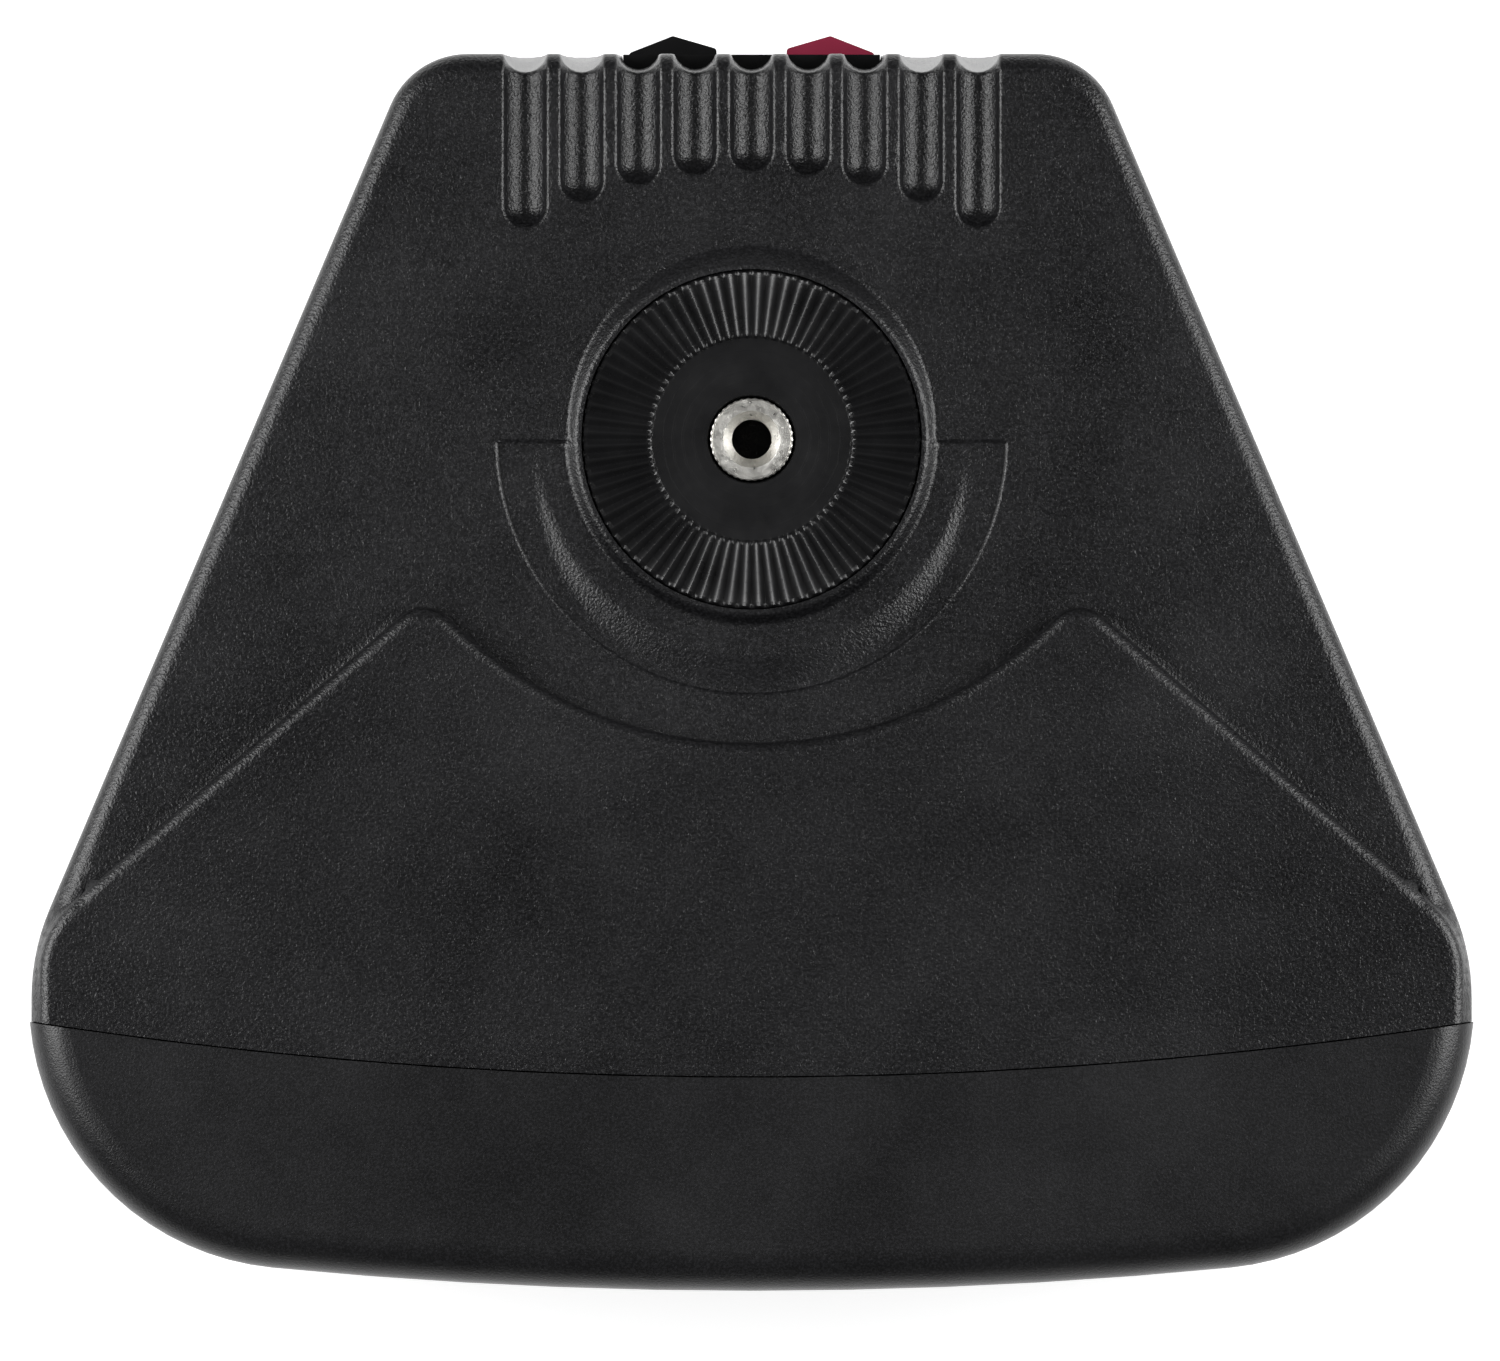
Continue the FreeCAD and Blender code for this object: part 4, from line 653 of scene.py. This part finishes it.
def noise(tree, place, size_mm, detail=3.0, rough=0.55):
    """Random patches of about that size, from 0 to 1."""
    return put(tree, "ShaderNodeTexNoise", {"Vector": place, "Scale": 1000 / size_mm, "Detail": detail,
                                            "Roughness": rough}).outputs["Fac"]


def remap(tree, value, low, high, start=0.3, end=0.7):
    """A pattern's middle stretch spread between two numbers."""
    return put(tree, "ShaderNodeMapRange", {"Value": value, "From Min": start, "From Max": end,
                                            "To Min": low, "To Max": high}).outputs["Result"]


def tint(tree, share, dark, light):
    """Two colours mixed by a pattern."""
    made = put(tree, "ShaderNodeMix", {"Factor": share}, data_type="RGBA")
    made.inputs["A"].default_value = linear(dark)
    made.inputs["B"].default_value = linear(light)
    return made.outputs["Result"]


def bump(tree, height, depth_mm, under=None):
    """A height pattern as relief of that depth, on top of another relief."""
    sockets = {"Height": height, "Distance": depth_mm * MM}
    if under is not None:
        sockets["Normal"] = under
    return put(tree, "ShaderNodeBump", sockets).outputs["Normal"]


def finish(made, tree, **sockets):
    """The shader and the output."""
    named = {name.replace("_", " "): value for name, value in sockets.items()}
    shader = put(tree, "ShaderNodeBsdfPrincipled", named)
    put(tree, "ShaderNodeOutputMaterial", {"Surface": shader.outputs["BSDF"]})
    return made


def moulded(name, dark, light, rough, grain_mm, grain_depth, pits=0.0):
    """Moulded ABS or a sprayed coat: a grain that scatters highlights, patchy gloss and slightly uneven
    black. With pits, round dimples lie over the grain."""
    made, tree, place = blank(name)
    fine = noise(tree, place, grain_mm, 2.0, 0.6)
    patches = noise(tree, place, 26.0, 5.0, 0.62)
    relief = bump(tree, fine, grain_depth)
    if pits:
        cells = put(tree, "ShaderNodeTexVoronoi", {"Vector": place, "Scale": 1000 / (grain_mm * 1.7)})
        relief = bump(tree, cells.outputs["Distance"], pits, relief)
    speck = remap(tree, noise(tree, place, grain_mm * 1.2, 1.0, 0.5), 0.0, 0.8, 0.42, 0.78)
    share = put(tree, "ShaderNodeMath", {0: speck, 1: remap(tree, patches, 0.0, 0.25)},
                operation="ADD").outputs[0]
    return finish(made, tree, Base_Color=tint(tree, share, dark, light),
                  Roughness=remap(tree, patches, rough - 0.05, rough + 0.05), IOR=1.5, Normal=relief)


def satin(name, dark, light, rough, scratch_depth=0.0):
    """Smooth nylon, ABS, acetal, vinyl or rubber with a soft sheen. With a scratch depth, faint rings are
    rubbed into it."""
    made, tree, place = blank(name)
    patches = noise(tree, place, 5.0, 5.0)
    relief = bump(tree, noise(tree, place, 0.5, 2.0), 0.003)
    if scratch_depth:
        rings = put(tree, "ShaderNodeTexWave", {"Vector": place, "Scale": 1000 / 4.2, "Distortion": 1.4,
                                                "Detail": 3.0, "Detail Scale": 2.0},
                    wave_type="RINGS", rings_direction="Z").outputs["Fac"]
        relief = bump(tree, remap(tree, rings, 0.0, 1.0, 0.86, 0.98), scratch_depth, relief)
    return finish(made, tree, Base_Color=tint(tree, patches, dark, light),
                  Roughness=remap(tree, patches, rough - 0.06, rough + 0.06), IOR=1.5, Normal=relief)


def plated(name, dark, light, rough, grain_mm, depth):
    """Turned and plated metal: fine tool marks and slightly cloudy plating."""
    made, tree, place = blank(name)
    cloud = noise(tree, place, 1.1, 4.0)
    relief = bump(tree, noise(tree, place, grain_mm, 3.0, 0.7), depth)
    return finish(made, tree, Base_Color=tint(tree, cloud, dark, light), Metallic=1.0,
                  Roughness=remap(tree, cloud, rough * 0.7, rough * 1.3), Normal=relief)


def bands_scale(pitch_mm):
    """The scale at which each band of a wave texture, light or dark, is that wide. The wave turns
    20 radians a unit."""
    return 1000 / pitch_mm / 20 * math.pi


def woven(name, dark, light, thread_mm, rough, sheen, depth):
    """Cloth: two sets of threads that cross, with painted shade that makes the gaps darker than the crowns,
    and a soft fibre sheen.
    """
    made, tree, place = blank(name)
    across, along = (put(tree, "ShaderNodeTexWave", {"Vector": place, "Scale": bands_scale(thread_mm)},
                         bands_direction=way).outputs["Fac"] for way in "XZ")
    both = put(tree, "ShaderNodeMath", {0: across, 1: along}, operation="MULTIPLY").outputs[0]
    fuzz = noise(tree, place, thread_mm * 0.5, 2.0)
    mixed = put(tree, "ShaderNodeMath", {0: both, 1: fuzz}, operation="ADD").outputs[0]
    # The weave's relief pattern also darkens the colour in the gaps between threads: painted shade.
    return finish(made, tree, Base_Color=tint(tree, remap(tree, mixed, 0, 1, 0.3, 1.5), dark, light),
                  Roughness=rough, IOR=1.5, Sheen_Weight=sheen, Normal=bump(tree, mixed, depth))


def fibrous(name, dark, light, fibre_mm, rough, depth, ior=1.5):
    """Pulp, foam, cement or sintered ceramic: matt, with random fibres or grains."""
    made, tree, place = blank(name)
    coarse = noise(tree, place, fibre_mm * 4, 4.0)
    fine = noise(tree, place, fibre_mm, 4.0, 0.7)
    mixed = put(tree, "ShaderNodeMath", {0: coarse, 1: fine}, operation="ADD").outputs[0]
    return finish(made, tree, Base_Color=tint(tree, remap(tree, mixed, 0, 1, 0.7, 1.3), dark, light),
                  Roughness=rough, IOR=ior, Normal=bump(tree, mixed, depth))


def wound(name, dark, light, wire_mm):
    """Enamelled copper winding: even turns of round wire with a warm varnish gloss, and painted shade that
    darkens the colour between the turns.
    """
    made, tree, place = blank(name)
    turns = put(tree, "ShaderNodeTexWave", {"Vector": place, "Scale": bands_scale(wire_mm),
                                            "Distortion": 0.4, "Detail": 1.0},
                bands_direction="Y").outputs["Fac"]
    # The turns' relief wave also sets the colour, dark in the hollows between wires: painted shade.
    return finish(made, tree, Base_Color=tint(tree, turns, dark, light), Metallic=0.85,
                  Roughness=0.34, Normal=bump(tree, turns, wire_mm * 0.3))


finishes = {
    # Spark-eroded black ABS: even grain of about a third of a millimetre, dull sparkle in the light.
    "cabinet_plastic": moulded("grained_black_abs", "#040405", "#252527", 0.31, 0.3, 0.1, 0.035),
    # The bezel's tool has a finer grain, so it looks smoother and a little darker.
    "bezel_plastic": moulded("fine_grained_black_abs", "#080809", "#232325", 0.36, 0.26, 0.06),
    # Glass-filled nylon: satin, with faint rings where a bracket has rubbed.
    "ring_plastic": satin("satin_black_nylon", "#0e0e0f", "#19191a", 0.3, 0.012),
    # Bright nickel on turned brass: mirror-like, slightly warm, with fine tool marks.
    "nickel": plated("bright_nickel_plate", "#d6d4ce", "#f2f0ea", 0.36, 0.22, 0.05),
    # Powder coat on steel: satin black with a fine orange peel.
    "grille_paint": moulded("black_powder_coat", "#101011", "#161617", 0.42, 0.5, 0.012),
    # Polyester scrim: knitted black yarn, open and dull.
    "scrim_cloth": woven("black_polyester_scrim", "#060606", "#111112", 0.7, 0.9, 0.3, 0.12),
    # Stoved black enamel on pressed steel: even satin black.
    "basket_paint": moulded("black_stove_enamel", "#141415", "#1a1a1b", 0.36, 0.9, 0.012),
    # Coated paper pulp: matt, with felted fibres.
    "cone_paper": fibrous("black_coated_pulp", "#131313", "#242425", 0.6, 0.78, 0.05),
    # Butyl rubber: satin black with a faint bloom.
    "surround_rubber": satin("black_butyl_rubber", "#0c0c0d", "#141415", 0.55),
    # Phenolic-dipped cotton: open amber weave.
    "spider_cloth": woven("amber_phenolic_cotton", "#6d4a17", "#b58a3c", 0.8, 0.7, 0.15, 0.15),
    # Enamelled copper wire wound in layers: fine warm ribs.
    "coil_copper": wound("enamelled_copper_winding", "#7a3516", "#c97842", 0.55),
    # Bright zinc on mild steel: bluish, cloudy.
    "zinc_steel": plated("bright_zinc_plate", "#9ba0a3", "#c4c9cb", 0.34, 0.5, 0.012),
    # Sintered ferrite: dark grey, ground flat.
    "ferrite": fibrous("ground_ferrite", "#2e2e31", "#414145", 0.5, 0.62, 0.02, 2.2),
    # Closed-cell foam: dull black with small cells.
    "gasket_foam": fibrous("black_cell_foam", "#0f0f10", "#1d1d1e", 0.7, 0.92, 0.15),
    # Fine-textured ABS of the small driver's face: soft sheen, no grain to see.
    "tweeter_plastic": satin("satin_black_abs", "#121213", "#19191a", 0.42),
    # Damped silk: fine weave under a tacky coat.
    "dome_silk": woven("coated_black_silk", "#111113", "#1f1f22", 0.35, 0.5, 0.2, 0.02),
    # Polished ABS of the terminal cup: deep black with a clear gloss.
    "terminal_plastic": satin("polished_black_abs", "#09090a", "#0e0e0f", 0.3),
    # Moulded acetal levers, black and crimson: waxy gloss, even colour.
    "lever_black_plastic": satin("gloss_black_acetal", "#0d0d0e", "#131314", 0.24),
    "lever_red_plastic": satin("gloss_crimson_acetal", "#86243a", "#96304a", 0.24),
    # Rolled spring strip: bright, with faint rolling marks.
    "spring_steel": plated("rolled_spring_strip", "#a5a6a4", "#cfd0ce", 0.22, 0.25, 0.006),
    # Tinned brass tags: pale gold, slightly cloudy.
    "tag_brass": plated("tinned_brass", "#a98d4e", "#d8c388", 0.3, 0.4, 0.01),
    # Phenolic paper board: brown, waxy, with a paper grain.
    "board_laminate": fibrous("phenolic_paper_board", "#7d5322", "#9c6f34", 0.5, 0.42, 0.01),
    # Shrunk vinyl sleeve: deep glossy blue.
    "capacitor_sleeve": satin("blue_vinyl_sleeve", "#182a5e", "#20377a", 0.26),
    # Cast cement body: chalky white with a dry grain.
    "resistor_cement": fibrous("white_cement", "#c9c5bb", "#e2dfd6", 0.4, 0.85, 0.04),
    # Black oxide on steel screws: oily, dark grey.
    "screw_black": plated("black_oxide_steel", "#1c1c1e", "#2c2c2e", 0.38, 0.3, 0.008),
    # Vinyl insulation: smooth, soft gloss, in black and in red.
    "lead_black": satin("black_vinyl", "#0e0e0f", "#161617", 0.38),
    "lead_red": satin("red_vinyl", "#a01c1c", "#b72525", 0.38),
    # Bonded polyester fibre: white, lofty, tangled.
    "wadding": fibrous("white_polyester_fibre", "#c4c4c0", "#ededea", 0.5, 0.95, 0.5),
}

# Every CAD node gets the finish of its slot.
for part in frame["record"]["subparts"]:
    shown = frame["nodes"].get(part["node"])
    if shown is None:
        continue
    for place in shown.material_slots:
        place.material = finishes[part["material_slot"]]

cabinet()
for top in (True, False):
    end_name = "top" if top else "bottom"
    pivot_ring(f"toothed_ring_{end_name}", top)
    pivot_insert(f"knurled_insert_{end_name}", top)
grille()
scrim()
wadding()


# ---------------------------------------------------------------- studio

# The width that the view takes in at the end face, in metres.
SEEN_WIDTH = 0.1875


def studio():
    """A pale lit floor, two large soft lights at the sides, and the view down the pivot."""
    scene = bpy.context.scene
    scene.view_settings.view_transform = "Standard"
    floor = bpy.data.meshes.new("floor")
    span, low = 8.0, cabinet_low[2] * MM - 0.0002
    corners = ((-span, -span), (span, -span), (span, span), (-span, span))
    floor.from_pydata([(*corner, low) for corner in corners], [], [(0, 1, 2, 3)])
    made, tree, _ = blank("pale_floor")
    finish(made, tree, Base_Color=linear("#e8e8e8"), Roughness=0.9,
           Emission_Color=linear("#ffffff"), Emission_Strength=0.66)
    floor.materials.append(made)
    ground = bpy.data.objects.new("floor", floor)
    scene.collection.objects.link(ground)

    world = bpy.data.worlds.new("soft_room")
    world.use_nodes = True
    sky = world.node_tree.nodes["Background"].inputs
    sky["Color"].default_value = (1, 1, 1, 1)
    sky["Strength"].default_value = 0.09
    scene.world = world
    aim = Vector((0, -0.03, TOP_Z * MM))
    for name, place, power in (("left_softbox", (-0.54, 0.06, 0.58), 5.2),
                               ("right_softbox", (0.54, 0.06, 0.58), 4.9)):
        lamp = bpy.data.lights.new(name, "AREA")
        lamp.shape = "SQUARE"
        lamp.size = 0.46
        lamp.energy = power
        light = bpy.data.objects.new(name, lamp)
        light.location = place
        light.rotation_euler = (aim - Vector(place)).to_track_quat("-Z", "Y").to_euler()
        light.visible_camera = False
        scene.collection.objects.link(light)

    camera = bpy.data.cameras.new("view")
    camera.lens = 1100
    camera.sensor_width = 36
    camera.clip_start = 0.1
    camera.clip_end = 60
    away = SEEN_WIDTH * camera.lens / camera.sensor_width
    eye = bpy.data.objects.new("view", camera)
    eye.location = (-0.0002, -0.03016, (TOP_Z - 2) * MM + away)
    scene.collection.objects.link(eye)
    scene.camera = eye


studio()
bpy.context.view_layer.update()
